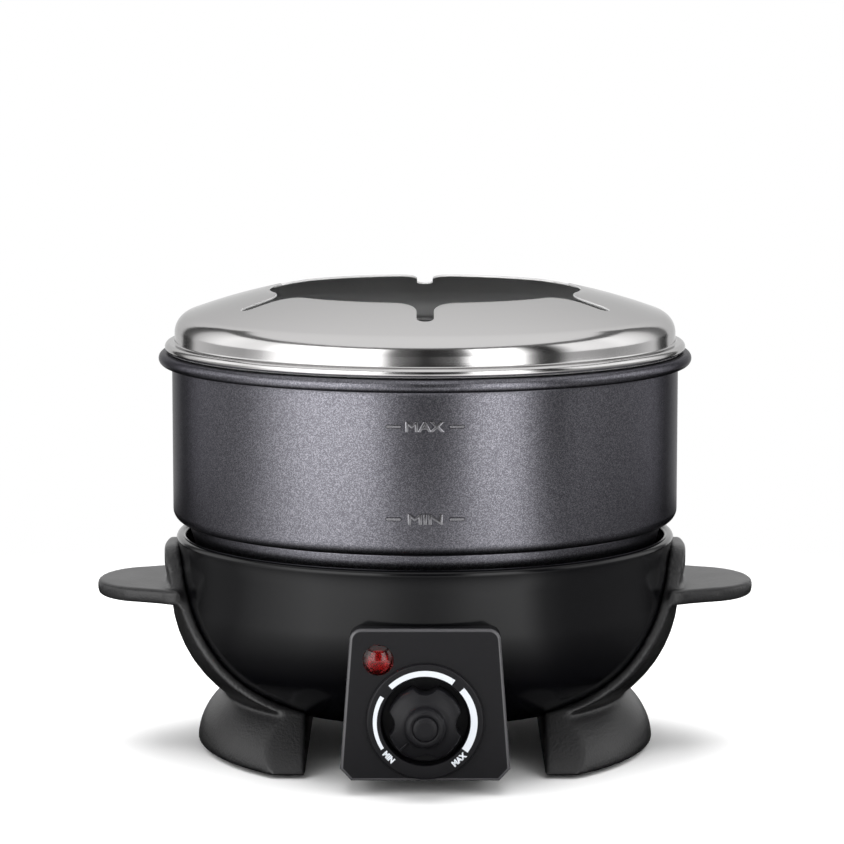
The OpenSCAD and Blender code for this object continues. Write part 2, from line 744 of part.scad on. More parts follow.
module terminal_block() color("WhiteSmoke") on_axis()
    difference() {
        translate([-block_size[0] / 2, -block_size[1] / 2, bowl_floor]) cube(block_size);
        for (i = [0:block_poles - 1])
            translate([pole_x(i), 0, block_top - block_hole_depth])
                cylinder(d = block_hole_d, h = block_hole_depth + over);
    }

module cord_gland() color("Black") on_axis() difference() {
    union() {
        rod_y(0, gland_z, gland_seat_y - gland_inside, gland_seat_y + gland_nose, gland_d);
        intersection() {
            difference() {
                bowl_solid(hug + flange_t);
                bowl_solid(hug);
            }
            rod_y(0, gland_z, gland_seat_y / 2, bowl_r + over, gland_flange_d);
        }
    }
    rod_y(0, gland_z, gland_seat_y - gland_inside - over, gland_seat_y + gland_nose + over, gland_bore_d);
}

module internal_leads() color("Firebrick") on_axis() {
    start_z = block_top - block_hole_depth + over;
    meet = [-thermostat_w / 4, thermostat_back + 2 * hole_play, dial_z];
    for (i = [0, 2]) {
        pin = polar(element_r, pin_angle(i - 1));
        wire([[pole_x(i), 0, start_z],
              [pole_x(i), 0, lead_z],
              [pin[0], pin[1], lead_z],
              [pin[0], pin[1], pin_z - 2 * hole_play]], lead_d);
    }
    wire([[pole_x(1), 0, start_z],
          [pole_x(1), 0, lead_z],
          [pole_x(1), meet[1] + 4 * lead_d, lead_z],
          [meet[0], meet[1] + 2 * lead_d, meet[2]],
          meet], lead_d);
}

// Side frames

// The side frame seen from the side, drawn in Y and Z and drawn in by inset
module frame_outline(inset) {
    neck = [frame_top_len / 2 - inset, frame_top - frame_top_r];
    leg = [frame_leg_len / 2 - inset, frame_leg_h];
    edge = concat(
        [[foot_len / 2 - inset, -over], [foot_len / 2 - inset, 0]],
        bend(leg, [neck[0] + frame_bend[0], leg[1] + frame_bend[1]], neck),
        arc([neck[0] - frame_top_r, neck[1]], frame_top_r, 0, 90));
    polygon(concat(edge, mirrored(edge)));
}

// Strap, from under the bowl up to its top lip, filled to the axis
module strap_fill() {
    polygon(concat(
        [[0, bowl_floor - frame_t]],
        arc([knuckle_c, knuckle_z], knuckle_r + frame_t, -90, strap_end_angle),
        [[lip_r, frame_top - lip_h]],
        arc([lip_r - lip_corner_r, frame_top - lip_corner_r], lip_corner_r, 0, 90),
        [[0, frame_top]]));
}

// Foot with its round dome, drawn in by inset, from the height z0 up, filled to the axis
module foot_fill(inset, z0) {
    polygon(concat(
        [[0, z0], [foot_reach - inset, z0]],
        arc([foot_dome_c, 0], dome_r - inset, asin(pad_t / dome_r), 90),
        [[0, dome_r - inset]]));
}

// The left half of a turned section
module left_half() rotate([0, 0, 90]) rotate_extrude(angle = 180) children();

module foot_hollow() {
    inner = foot_in + foot_wall;
    intersection() {
        left_half() difference() {
            foot_fill(foot_wall, pad_t - over);
            bowl_fill(hug + foot_wall, rim_z);
        }
        along_x(foot_reach + over) frame_outline(foot_wall);
        translate([-foot_reach - inner, -foot_len, -over]) cube([foot_reach, 2 * foot_len, bowl_top]);
    }
}

module frame_bosses() {
    translate([-frame_screw_x, 0, pad_t]) cylinder(d = frame_boss_d, h = bowl_floor);
    for (side = [-1, 1])
        translate([-pad_x, side * pad_y, pad_t]) cylinder(d = pad_boss_d, h = bowl_floor);
}

module handle_plan() {
    tip = [handle_tip_r - handle_reach, 0];
    difference() {
        polygon(concat(
            [[-bowl_r, handle_root_w / 2]],
            arc(tip, handle_tip_r, 90 + handle_lean, 270 - handle_lean),
            [[-bowl_r, -handle_root_w / 2]]));
        circle(r = bowl_r + frame_t / 2);
    }
}

module side_frame() difference() {
    union() {
        intersection() {
            left_half() difference() {
                union() {
                    strap_fill();
                    foot_fill(0, pad_t);
                }
                bowl_fill(hug, rim_z);
            }
            along_x(lip_r + over) frame_outline(0);
            translate([-lip_r - foot_in, -foot_len, 0]) cube([lip_r, 2 * foot_len, bowl_top]);
        }
        translate([0, 0, handle_z]) linear_extrude(handle_t) handle_plan();
    }
    difference() {
        foot_hollow();
        frame_bosses();
    }
    for (side = [-1, 1])
        translate([-pad_x, side * pad_y, pad_t - over])
            cylinder(d = pad_plug_d + 2 * hole_play, h = over + pad_plug_len + hole_play);
    translate([-frame_screw_x, 0, bowl_floor - thread_len - hole_play])
        cylinder(d = frame_screw_d + 2 * hole_play, h = thread_len + over);
    translate([-bowl_r - thread_len - bowl_t, 0, frame_screw_z]) rotate([0, 90, 0])
        cylinder(d = frame_screw_d + 2 * hole_play, h = thread_len + 2 * bowl_t);
}

module left_side_frame() color("DarkSlateGray") on_axis() side_frame();
module right_side_frame() color("DarkSlateGray") on_axis() mirror([1, 0, 0]) side_frame();

module frame_screws() color("DarkGray") on_axis() for (side = [-1, 1]) {
    wall_x = bowl_r - bowl_draft - bowl_t - hole_play;
    translate([side * frame_screw_x, 0, bowl_inside_z]) rotate([180, 0, 0])
        screw(frame_screw_d, screw_head_d, screw_head_h, bowl_t + thread_len - over);
    translate([side * wall_x, 0, frame_screw_z]) rotate([0, side * 90, 0])
        screw(frame_screw_d, screw_head_d, screw_head_h, bowl_t + thread_len - over);
}

module rubber_feet() color("Black") on_axis() for (x = [-pad_x, pad_x])
    for (y = [-pad_y, pad_y])
        translate([x, y, 0]) {
            cylinder(d = pad_d, h = pad_t);
            cylinder(d = pad_plug_d, h = pad_t + pad_plug_len);
        }

// Control box

// Half of the box's width at the height z
function half_width(z) =
    (panel_bottom_w + (panel_top_w - panel_bottom_w) * (z - housing_z) / housing_h) / 2;

// Front outline of the box in X and Z, drawn in by inset
module panel_outline(inset) {
    low = housing_z + inset;
    cut_z = low + panel_cut;
    top = housing_top - inset;
    corner_z = top - panel_corner_r;
    edge = concat(
        [[half_width(low) - inset - panel_cut, low], [half_width(cut_z) - inset, cut_z]],
        arc([half_width(corner_z) - inset - panel_corner_r, corner_z], panel_corner_r, 0, 90));
    polygon(concat(edge, mirrored(edge)));
}

module control_housing() color("DarkSlateGray") on_axis()
    difference() {
        union() {
            difference() {
                union() {
                    along_y(panel_y + panel_bevel, -housing_back) panel_outline(0);
                    hull() {
                        along_y(panel_y, -housing_back - panel_t) panel_outline(panel_bevel);
                        along_y(panel_y + panel_bevel, -housing_back - panel_t) panel_outline(0);
                    }
                }
                along_y(panel_y + panel_t, -housing_back - housing_wall) panel_outline(housing_wall);
            }
            translate([-tongue_screw_x - tongue_margin, -housing_back - over, tongue_z])
                cube([2 * (tongue_screw_x + tongue_margin), housing_back + over - tongue_back, tongue_t]);
            for (side = [-1, 1])
                translate([side * tongue_screw_x, tongue_screw_y, bowl_floor - hug - thread_len - over])
                    cylinder(d = housing_screw_d + 2 * boss_wall, h = thread_len + over);
        }
        bowl_solid(hug);
        rod_y(0, dial_z, panel_y - over, panel_y + panel_t + over, dial_tube_d + 2 * hole_play);
        rod_y(lens_pos[0], lens_pos[1], panel_y - over, panel_y + panel_t + over,
              lens_stem_d + 2 * hole_play);
        for (side = [-1, 1])
            translate([side * tongue_screw_x, tongue_screw_y, bowl_floor - thread_len - hole_play])
                cylinder(d = housing_screw_d + 2 * hole_play, h = thread_len + over);
    }

module housing_screws() color("DarkGray") on_axis() for (side = [-1, 1])
    translate([side * tongue_screw_x, tongue_screw_y, bowl_inside_z]) rotate([180, 0, 0])
        screw(housing_screw_d, housing_screw_head_d, housing_screw_head_h, bowl_t + thread_len - over);

// Controls

// Turns a section drawn in radius and depth about the dial's axis, with depth running to the front
module about_dial() translate([0, 0, dial_z]) rotate([90, 0, 0]) rotate_extrude() children();

module dial_ring() color("DarkSlateGray") on_axis()
    difference() {
        about_dial() polygon([
            [dial_hole_d / 2, -well_back],
            [dial_tube_d / 2, -well_back],
            [dial_tube_d / 2, -panel_y],
            [dial_d / 2, -panel_y],
            [dial_d / 2, -dial_face - dial_proud / 3],
            [dial_d / 2 - dial_proud / 3, -dial_face],
            [well_d / 2, -dial_face],
            [well_d / 2, -well_y],
            [dial_hole_d / 2, -well_y]]);
        for (side = [-1, 1])
            rod_y(side * thermostat_screw_x, dial_z, well_y - over, well_back + over,
                  thermostat_screw_d + 2 * hole_play);
    }

module thermostat_body() color("SaddleBrown") on_axis()
    difference() {
        translate([-thermostat_w / 2, well_back, dial_z - thermostat_h / 2])
            cube([thermostat_w, thermostat_depth, thermostat_h]);
        rod_y(0, dial_z, well_back - over, thermostat_bore_y + hole_play, spindle_d + 2 * shaft_play);
        for (side = [-1, 1])
            rod_y(side * thermostat_screw_x, dial_z, well_back - over, thermostat_bore_y,
                  thermostat_screw_d + 2 * hole_play);
    }

module thermostat_screws() color("DarkGray") on_axis() for (side = [-1, 1])
    translate([side * thermostat_screw_x, well_y, dial_z]) rotate([-90, 0, 0])
        screw(thermostat_screw_d, thermostat_screw_head_d, flange_t, thermostat_bore_y - well_y - over);

module indicator_lens() color("Crimson") on_axis()
    translate([lens_pos[0], 0, lens_pos[1]]) rotate([90, 0, 0]) rotate_extrude() {
        crown_r = (pow(lens_d / 2, 2) + lens_crown * lens_crown) / (2 * lens_crown);
        crown_angle = asin(lens_d / 2 / crown_r);
        polygon(concat(
            [[lens_bore_d / 2, -lens_back],
             [lens_stem_d / 2, -lens_back],
             [lens_stem_d / 2, -panel_y],
             [lens_d / 2, -panel_y]],
            arc([0, -panel_y + lens_crown - crown_r], crown_r, 90 - crown_angle, 90),
            [[0, -panel_y], [lens_bore_d / 2, -panel_y]]));
    }

module lamp_clip() color("LightSteelBlue") on_axis()
    difference() {
        rod_y(lens_pos[0], lens_pos[1], panel_y + panel_t, panel_y + panel_t + flange_t, lamp_clip_d);
        rod_y(lens_pos[0], lens_pos[1], panel_y, panel_y + 2 * panel_t, lens_stem_d + 2 * hole_play);
    }

module neon_lamp() color("Orange") on_axis()
    rod_y(lens_pos[0], lens_pos[1], panel_y + hole_play, lens_back, lens_bore_d - 2 * hole_play);

// Turns a shape about the dial's axis, clockwise as seen from the front
module round_dial(a) translate([0, 0, dial_z]) rotate([0, a, 0]) translate([0, 0, -dial_z]) children();

module knob() color("DarkSlateGray") on_axis() {
    rim = knob_d / 2;
    bell = knob_bell_d / 2;
    skirt = -knob_back + knob_skirt_h;
    front = -knob_front - knob_crown;
    foot = [bell + 2, skirt + knob_slope_h];
    difference() {
        union() {
            about_dial() polygon(concat(
                [[0, -knob_back], [rim, -knob_back]],
                bend([rim, skirt], [rim, skirt + knob_slope_h / 2], foot),
                bend(foot, [bell, foot[1] + knob_crown], [bell, (foot[1] + front) / 2]),
                bend([bell, (foot[1] + front) / 2], [bell, front], [knob_boss_d / 2 + knob_crown, front]),
                [[knob_boss_d / 2, front], [knob_boss_d / 2, -knob_front], [0, -knob_front]]));
            // Pointer rib down the slope, at the lowest setting
            round_dial(lowest_angle) translate([0, 0, dial_z]) mirror([0, 1, 0])
                linear_extrude(pointer_w, center = true) polygon([
                    [-foot[0], skirt],
                    [-foot[0] - pointer_len, skirt],
                    [-foot[0] - pointer_len, skirt + knob_slope_h / 2 + pointer_proud],
                    [-foot[0], foot[1] + pointer_proud]]);
        }
        for (i = [0:flute_count - 1])
            round_dial(i * 360 / flute_count)
                rod_y(knob_d / 2 - flute_depth + flute_r, dial_z, knob_front - over, knob_back + over,
                      2 * flute_r);
        rod_y(0, dial_z, knob_bore_y, knob_back + over, spindle_d + 2 * hole_play);
    }
}

module thermostat_spindle() color("Silver") on_axis()
    rod_y(0, dial_z, knob_bore_y + hole_play, thermostat_bore_y, spindle_d);

lid_shell();
pot_shell();
base_bowl();
heating_plate();
heating_element();
element_insulators();
heat_reflector();
upper_spacers();
lower_spacers();
plate_screws();
thermal_fuse();
sensor_bulb();
plate_clips();
bottom_cover();
cover_screws();
terminal_block();
cord_gland();
internal_leads();
left_side_frame();
right_side_frame();
frame_screws();
rubber_feet();
control_housing();
housing_screws();
dial_ring();
thermostat_body();
thermostat_screws();
indicator_lens();
lamp_clip();
neon_lamp();
knob();
thermostat_spindle();
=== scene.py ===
"""Electric fondue pot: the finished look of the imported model, laid out as a Blender add-on.

Everything stands in the model's own frame: metres, +X right, +Y back, +Z up, on the table.
The bowl's axis is upright; sections are (radius, height) pairs that are turned about it.
"""

import json
import math

import bmesh
import bpy
from bpy.props import FloatProperty, FloatVectorProperty, IntProperty, PointerProperty
from mathutils import Matrix, Vector


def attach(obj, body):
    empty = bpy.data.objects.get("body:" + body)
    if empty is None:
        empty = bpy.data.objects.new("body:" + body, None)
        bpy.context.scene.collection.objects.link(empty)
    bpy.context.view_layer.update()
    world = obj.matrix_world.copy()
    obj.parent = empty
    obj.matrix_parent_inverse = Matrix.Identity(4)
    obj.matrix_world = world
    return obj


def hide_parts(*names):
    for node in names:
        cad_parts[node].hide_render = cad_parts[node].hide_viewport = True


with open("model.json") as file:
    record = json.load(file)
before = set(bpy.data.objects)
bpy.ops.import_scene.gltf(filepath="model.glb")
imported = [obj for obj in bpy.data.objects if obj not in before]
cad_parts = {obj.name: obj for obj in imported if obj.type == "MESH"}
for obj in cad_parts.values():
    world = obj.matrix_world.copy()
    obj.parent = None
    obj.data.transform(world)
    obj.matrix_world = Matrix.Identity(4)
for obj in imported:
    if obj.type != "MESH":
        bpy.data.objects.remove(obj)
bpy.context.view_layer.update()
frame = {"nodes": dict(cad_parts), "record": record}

bl_info = {
    "name": "Electric fondue pot",
    "version": (1, 0, 0),
    "blender": (4, 5, 0),
    "location": "View3D > Sidebar > Fondue",
    "description": "Builds the pieces, the finishes and the stage of an electric fondue pot",
    "category": "Object",
}

MM = 0.001
# Height of a capital letter in a font of size 1
CAP_HEIGHT = 0.73
# Put before the names of the finishes, since the loaded model brings plain materials of the same names
PREFIX = "fondue_"


# Settings

def length(label, about, size):
    """A length setting, with its default in millimetres."""
    return FloatProperty(name=label, description=about, default=size * MM, unit="LENGTH", precision=5)


def angle(label, about, degrees):
    """An angle setting, with its default in degrees."""
    return FloatProperty(name=label, description=about, default=math.radians(degrees), unit="ROTATION")


def amount(label, about, value):
    """A plain number setting."""
    return FloatProperty(name=label, description=about, default=value)


def count(label, about, number):
    """A whole number setting."""
    return IntProperty(name=label, description=about, default=number, min=0)


def colour(label, about, rgb):
    """A colour setting, in linear light."""
    return FloatVectorProperty(
        name=label, description=about, default=rgb, subtype="COLOR", size=3, min=0.0, max=1.0)


class FondueLid(bpy.types.PropertyGroup):
    """Sizes of the lid."""

    bead_z: length("Bead height", "Height of the bead's middle above the table", 159.3)
    bead_r: length("Bead radius", "Radius of the middle of the folded bead", 101.7)
    bead_d: length("Bead thickness", "Height of the folded bead", 3.6)
    fold_r: length("Fold radius", "Inside corner between the bead and the wall or the skirt", 0.7)
    skirt_r: length("Skirt radius", "Outer radius of the skirt inside the pot", 98.5)
    skirt_drop: length("Skirt drop", "How far the skirt hangs below the bead's middle", 9.0)
    wall_r: length("Wall radius", "Outer radius of the wall above the bead", 99.6)
    wall_rise: length("Wall rise", "Height of the wall above the bead's middle", 5.4)
    shoulder_r: length("Shoulder radius", "Rounding between the wall and the dome", 8.5)
    shoulder_turn: angle("Shoulder turn", "Turn of the rounding from the wall to the dome", 70.0)
    dome_r: length("Dome radius", "Radius of the dome's arch", 231.0)
    collar_r: length("Collar radius", "Radius outside which the dome is a plain ring", 86.0)
    opening_r: length("Opening radius", "Radius of the opening", 62.0)
    notches: count("Notches", "Number of fork notches", 6)
    notch_w: length("Notch width", "Width of a fork notch", 6.5)
    notch_tip_r: length("Notch reach", "Radius that the tip of a notch reaches", 82.0)
    flare_r: length("Notch flare", "Rounding where a notch meets the opening", 11.0)
    sheet: length("Sheet", "Thickness of the sheet", 0.9)
    edge: length("Edge", "Rounding of the sheet's cut edges", 0.2)


class FonduePot(bpy.types.PropertyGroup):
    """Sizes of the pot."""

    bottom_z: length("Bottom height", "Height of the pot's underside above the table", 74.6)
    wall_r: length("Wall radius", "Outer radius of the straight wall", 100.7)
    sheet: length("Sheet", "Thickness of the wall", 1.4)
    step_h: length("Step height", "Height of the narrower foot section", 15.5)
    step_r: length("Step radius", "Radius of the foot section at the step", 94.7)
    step_edge: length("Step edge", "Rounding of the foot section's upper edge", 0.6)
    draft: angle("Draft", "Lean of the foot section", 15.0)
    corner_r: length("Corner", "Rounding between the foot section and the bottom", 7.0)
    shoulder_r: length("Shoulder", "Rounding between the step and the wall", 4.5)
    bead_r: length("Bead radius", "Radius of the middle of the rolled rim", 103.5)
    bead_z: length("Bead height", "Height of the rolled rim's middle above the table", 154.7)
    bead_d: length("Bead thickness", "Thickness of the rolled rim", 5.0)
    max_drop: length("High mark", "How far the MAX mark is below the rim", 15.4)
    min_drop: length("Low mark", "How far the MIN mark is below the rim", 50.2)
    mark_h: length("Letter height", "Height of the letters of the marks", 4.1)
    max_w: length("High mark width", "Width of the word MAX", 15.0)
    min_w: length("Low mark width", "Width of the word MIN", 13.2)
    mark_proud: length("Mark relief", "How far the marks stand out", 0.55)
    mark_edge: length("Mark edge", "Rounding of the marks' edges", 0.3)
    mark_bold: length("Mark weight", "How much the letters of the marks are thickened", 0.3)
    dash_in: length("Dash start", "Distance of the dashes from the middle of a mark", 8.7)
    dash_len: length("Dash length", "Length of the dashes beside a mark", 6.2)
    dash_h: length("Dash height", "Height of the dashes beside a mark", 1.5)


class FondueBowl(bpy.types.PropertyGroup):
    """Sizes of the base bowl and of the heating plate in it."""

    side_r: length("Side radius", "Outer radius of the bowl's side", 98.4)
    rim_r: length("Rim radius", "Radius of the middle of the rim", 97.4)
    rim_z: length("Rim height", "Height of the rim's middle above the table", 82.7)
    rim_d: length("Rim thickness", "Thickness of the rim", 4.0)
    rim_neck: length("Rim neck", "How far below the rim's middle the side starts to turn out", 8.8)
    rim_turn: length("Rim turn", "How far below the rim's middle that turn is sharpest", 2.4)
    knuckle_r: length("Knuckle", "Radius of the rounding between the side and the floor", 45.0)
    knuckle_z: length("Knuckle height", "Height of the middle of that rounding", 61.5)
    knuckle_c: length("Knuckle place", "Distance of the middle of that rounding from the axis", 52.8)
    wall: length("Wall", "Thickness of the bowl", 2.0)
    floor_hole_r: length("Floor opening", "Radius of the opening in the floor", 28.0)
    plate_r: length("Plate radius", "Radius of the heating plate", 95.0)
    plate_top: length("Plate height", "Height of the plate's face above the table", 74.6)
    plate_t: length("Plate thickness", "Thickness of the heating plate", 7.4)
    plate_edge: length("Plate edge", "Break of the plate's and the disc's edges", 0.5)
    disc_r: length("Disc radius", "Radius of the turned disc in the plate's middle", 68.0)
    groove_w: length("Groove width", "Width of the groove round the disc", 2.5)
    groove_d: length("Groove depth", "Depth of the groove round the disc", 0.4)
    crest_r: length("Crest radius", "Radius of the cast ring's crest", 78.0)
    # How far the painted highlight along the ring's crest reaches to either side
    crest_highlight_w: length("Crest width", "How far the worn bright crest reaches to either side", 5.0)
    crest_drop: length("Crest drop", "How far the crest is below the disc's face", 0.1)
    ring_drop: length("Ring drop", "How far the cast ring's outer side is below the disc's face", 0.5)
    lip_w: length("Lip width", "Width of the raised lip round the plate", 8.0)
    lip_rise: length("Lip rise", "Height of the raised lip over the disc's face", 1.6)
    lip_flat: length("Lip top", "Width of the lip's top", 1.5)


class FondueControls(bpy.types.PropertyGroup):
    """Sizes of the control box, dial, knob and lens. Depths run from the bowl's axis to the front."""

    panel: length("Panel depth", "Distance of the panel's face from the bowl's axis", 103.0)
    back: length("Back depth", "Distance of the box's back from the bowl's axis", 62.0)
    bottom_z: length("Box bottom", "Height of the box's underside above the table", 5.5)
    box_h: length("Box height", "Height of the box", 58.0)
    top_w: length("Top width", "Width of the panel at its top", 56.0)
    bottom_w: length("Bottom width", "Width of the panel at its bottom", 64.6)
    corner_r: length("Top corner", "Rounding of the panel's top corners", 4.5)
    cut: length("Bottom cut", "Cut of the panel's bottom corners", 4.5)
    bevel: length("Panel edge", "Rounding of the panel's edge", 1.1)
    panel_t: length("Panel thickness", "Thickness of the panel", 3.0)
    wall: length("Box wall", "Thickness of the box's walls", 2.5)
    hug: length("Bowl gap", "Gap between the box and the bowl", 0.15)
    dial_z: length("Dial height", "Height of the dial's middle above the table", 28.4)
    dial_r: length("Dial radius", "Outer radius of the dial ring", 22.0)
    dial_face: length("Dial depth", "Distance of the dial's face from the bowl's axis", 105.0)
    dial_edge: length("Dial edge", "Rounding of the dial ring's edges", 0.8)
    well_r: length("Well radius", "Radius of the well that the knob sits in", 16.5)
    well_floor: length("Well depth", "Distance of the well's floor from the bowl's axis", 98.5)
    tube_r: length("Tube radius", "Radius of the tube behind the dial ring", 17.7)
    tube_back: length("Tube depth", "Distance of the tube's back from the bowl's axis", 95.5)
    hole_r: length("Spindle hole", "Radius of the hole for the spindle", 3.4)
    print_r: length("Scale radius", "Outer radius of the printed scale", 19.6)
    letter_r: length("Letter radius", "Radius on which the printed words stand", 19.0)
    letter_h: length("Letter height", "Height of the printed words", 2.35)
    min_w: length("MIN width", "Width of the printed word MIN", 4.8)
    max_w: length("MAX width", "Width of the printed word MAX", 6.2)
    min_turn: angle("MIN place", "Bearing of the printed word MIN, counted from the right", 224.2)
    max_turn: angle("MAX place", "Bearing of the printed word MAX, counted from the right", 312.0)
    bold: length("Letter weight", "How much the printed letters are thickened", 0.18)
    ink: length("Ink", "Thickness of the print", 0.06)
    knob_r: length("Knob radius", "Outer radius of the knob", 14.0)
    knob_back: length("Knob back", "Distance of the knob's back from the bowl's axis", 100.9)
    knob_front: length("Knob front", "Distance of the knob's front from the bowl's axis", 118.0)
    knob_edge: length("Knob edge", "Break of the knob's edges", 0.3)
    flute_r: length("Flute radius", "Radius of a grip flute", 6.0)
    flute_d: length("Flute depth", "Depth of a grip flute", 2.6)
    skirt_h: length("Skirt height", "Height of the knob's fluted skirt", 7.0)
    slope_h: length("Slope height", "Height of the slope between the skirt and the bell", 3.7)
    grip_r: length("Grip radius", "Radius outside which the knob's flutes are softened", 10.0)
    bell_r: length("Bell radius", "Radius of the bell in the knob's middle", 7.5)
    bell_foot: length("Bell foot", "How far the slope's end stands out from the bell", 2.0)
    boss_r: length("Boss radius", "Radius of the boss on the knob's face", 4.5)
    crown: length("Boss height", "How far the boss stands out of the bell", 0.7)
    pointer_l: length("Pointer length", "Length of the pointer rib on the knob's slope", 4.4)
    pointer_w: length("Pointer width", "Width of the pointer rib", 0.8)
    pointer_h: length("Pointer height", "Height of the pointer rib", 1.6)
    pointer_out: length("Pointer place", "Distance of the pointer rib's middle from the slope's end", 1.8)
    pointer_turn: angle("Pointer turn", "Bearing of the pointer rib at MIN, counted from the right", 225.0)
    pointer_lean: angle("Pointer lean", "Lean of the pointer rib along the slope", 24.0)
    lens_x: length("Lens place", "Distance of the lens to the left of the middle", 17.6)
    lens_z: length("Lens height", "Height of the lens above the table", 51.7)
    lens_r: length("Lens radius", "Radius of the lens", 5.9)
    lens_gap: length("Lens gap", "Gap between the lens and the panel", 0.05)
    lens_crown: length("Lens crown", "How far the lens stands out of the panel", 3.0)
    prism: length("Prism", "Size of a prism behind the lens", 0.8)
    prism_r: length("Prism field", "Radius of the field of prisms behind the lens", 3.3)
    stem_r: length("Lens stem", "Radius of the stem behind the lens", 4.7)
    stem_back: length("Stem depth", "Distance of the stem's back from the bowl's axis", 95.5)


class FondueFrames(bpy.types.PropertyGroup):
    """How the moulded side frames are softened and spread."""

    grain: length("Fineness", "Fineness of the mesh that the moulding's soft edges are worked on", 0.75)
    rounds: count("Softening", "Smoothing rounds on the moulding's edges", 3)
    leg_z: length("Leg height", "Height at which the strap leaves the leg", 22.0)
    neck_z: length("Neck height", "Height from which the strap is spread in full", 66.0)
    strap_out: length("Strap radius", "Distance of the strap's outer face from the bowl's axis", 103.2)
    strap_edge: length("Strap edge", "Half the strap's packed length under the handle", 19.9)
    strap_edge_top: length("Upper strap edge", "Half the strap's packed length over the handle", 16.3)
    handle_root: length("Handle root", "Half the handle's packed width at the strap", 27.0)
    handle_low: length("Handle underside", "Height just below the handle", 58.9)
    handle_high: length("Handle top", "Height just above the handle", 65.7)
    root_blend: length("Root blend", "Way along which the handle's spread takes over from the strap's", 4.0)
    handle_rounds: count("Handle softening", "Smoothing rounds on the handle's outline", 14)
    strap_spread: amount("Strap spread", "How much longer the strap is made, front to back", 0.76)
    handle_spread: amount("Handle spread", "How much wider the handle is made", 0.235)
    foot_spread: amount("Foot spread", "How much longer the foot is made at the table", 0.09)


class FondueColours(bpy.types.PropertyGroup):
    """Colours of the finishes."""

    steel: colour("Steel", "Polished steel of the lid", (0.605, 0.596, 0.594))
    satin: colour("Satin steel", "Skirt of the lid", (0.46, 0.464, 0.47))
    dull: colour("Dull steel", "Inside of the lid", (0.72, 0.72, 0.72))
    coat: colour("Coat", "Dark ground of the pot's coat", (0.098, 0.0965, 0.110))
    flake: colour("Flake", "Bright flakes in the pot's coat", (0.240, 0.236, 0.263))
    # Mark: lighter than the coat, a painted highlight on the raised level marks
    mark: colour("Mark", "Worn coat on the raised level marks", (0.25, 0.247, 0.262))
    # Lining: painted shade inside the pot, much darker than the coat
    lining: colour("Lining", "Non-stick lining inside the pot", (0.012, 0.012, 0.012))
    gloss: colour("Gloss black", "Paint of the bowl", (0.002, 0.002, 0.0026))
    turned: colour("Turned aluminium", "Disc of the heating plate", (0.86, 0.86, 0.86))
    cast: colour("Cast aluminium", "Ring of the heating plate", (0.66, 0.69, 0.71))
    # Cast crest: a painted highlight along the cast ring's crest, lighter than the ring
    crest: colour("Cast crest", "Worn bright places of that ring", (0.86, 0.90, 0.90))
    plastic: colour("Black plastic", "Box, dial and knob", (0.0052, 0.0050, 0.0064))
    frame: colour("Grained plastic", "Side frames", (0.0078, 0.0076, 0.0082))
    # Panel edge: a painted highlight along the panel's rounded edge
    edge: colour("Panel edge", "Polished edge of the control panel", (0.055, 0.054, 0.058))
    ink: colour("Ink", "Printed scale", (0.66, 0.69, 0.73))
    red: colour("Red", "Prisms behind the lens", (0.50, 0.008, 0.010))
    lens: colour("Clear red", "Lens", (0.80, 0.10, 0.10))
    rubber: colour("Rubber", "Feet", (0.02, 0.02, 0.02))


class FondueStage(bpy.types.PropertyGroup):
    """Floor, lamps and camera."""

    floor_r: length("Floor radius", "Radius of the white table top", 620.0)
    floor_clear: length("Floor middle", "Radius inside which the table top is fully there", 300.0)
    floor_end: length("Floor end", "Radius at which the table top has faded out", 496.0)
    floor_gap: length("Floor gap", "How far the table top lies below the feet", 0.2)
    floor_white: amount("Floor white", "Lightness of the table top", 0.95)
    fill: amount("Fill light", "Strength of the white surroundings on matt surfaces", 0.84)
    left_power: amount("Left lamp", "Power of the left lamp in watts", 6.0)
    right_power: amount("Right lamp", "Power of the right lamp in watts", 5.0)
    top_power: amount("Top lamp", "Power of the lamp overhead in watts", 32.0)
    card_r: length("Card distance", "Distance of the reflector cards", 1600.0)
    card_low: length("Card foot", "Height of the foot of the reflector cards", -1500.0)
    card_split: length("Card split", "Height at which the upper cards stand on the lower ones", 200.0)
    card_high: length("Card top", "Height of the top of the reflector cards", 1300.0)
    band_high: length("Band top", "Height of the top of the dim band above the cards", 1700.0)
    band_turn: amount("Band turn", "How far the dim band runs to either side, in degrees", 140.0)
    band_glow: amount("Band glow", "Brightness of the dim band", 0.15)
    camera_y: length("Camera distance", "Distance of the camera in front of the origin", 1382.2)
    camera_z: length("Camera height", "Height of the camera above the table", 309.5)
    camera_x: length("Camera shift", "Place of the camera along X", -1.2)
    camera_pitch: angle("Camera pitch", "How far the camera looks down", 7.45)
    lens: amount("Lens", "Focal length in millimetres on a 36 mm sensor", 149.3)


class FondueSettings(bpy.types.PropertyGroup):
    """All settings of the fondue pot."""

    axis_y: length("Axis place", "Distance of the bowl's axis behind the origin", 6.0)
    steps: count("Steps", "Steps round a full turn of a large piece", 256)
    lid: PointerProperty(type=FondueLid)
    pot: PointerProperty(type=FonduePot)
    bowl: PointerProperty(type=FondueBowl)
    controls: PointerProperty(type=FondueControls)
    frames: PointerProperty(type=FondueFrames)
    colours: PointerProperty(type=FondueColours)
    stage: PointerProperty(type=FondueStage)


# Shapes

def arc(centre, radius, start, end, steps):
    """Points on an arc; angles are in degrees."""
    turns = [math.radians(start + (end - start) * i / steps) for i in range(steps + 1)]
    return [(centre[0] + radius * math.cos(t), centre[1] + radius * math.sin(t)) for t in turns]


def bend(start, towards, end, steps):
    """Points along a curve from start to end, drawn towards a third point."""
    points = []
    for i in range(steps + 1):
        t = i / steps
        points.append(tuple(
            (1 - t) ** 2 * a + 2 * t * (1 - t) * b + t ** 2 * c for a, b, c in zip(start, towards, end)))
    return points


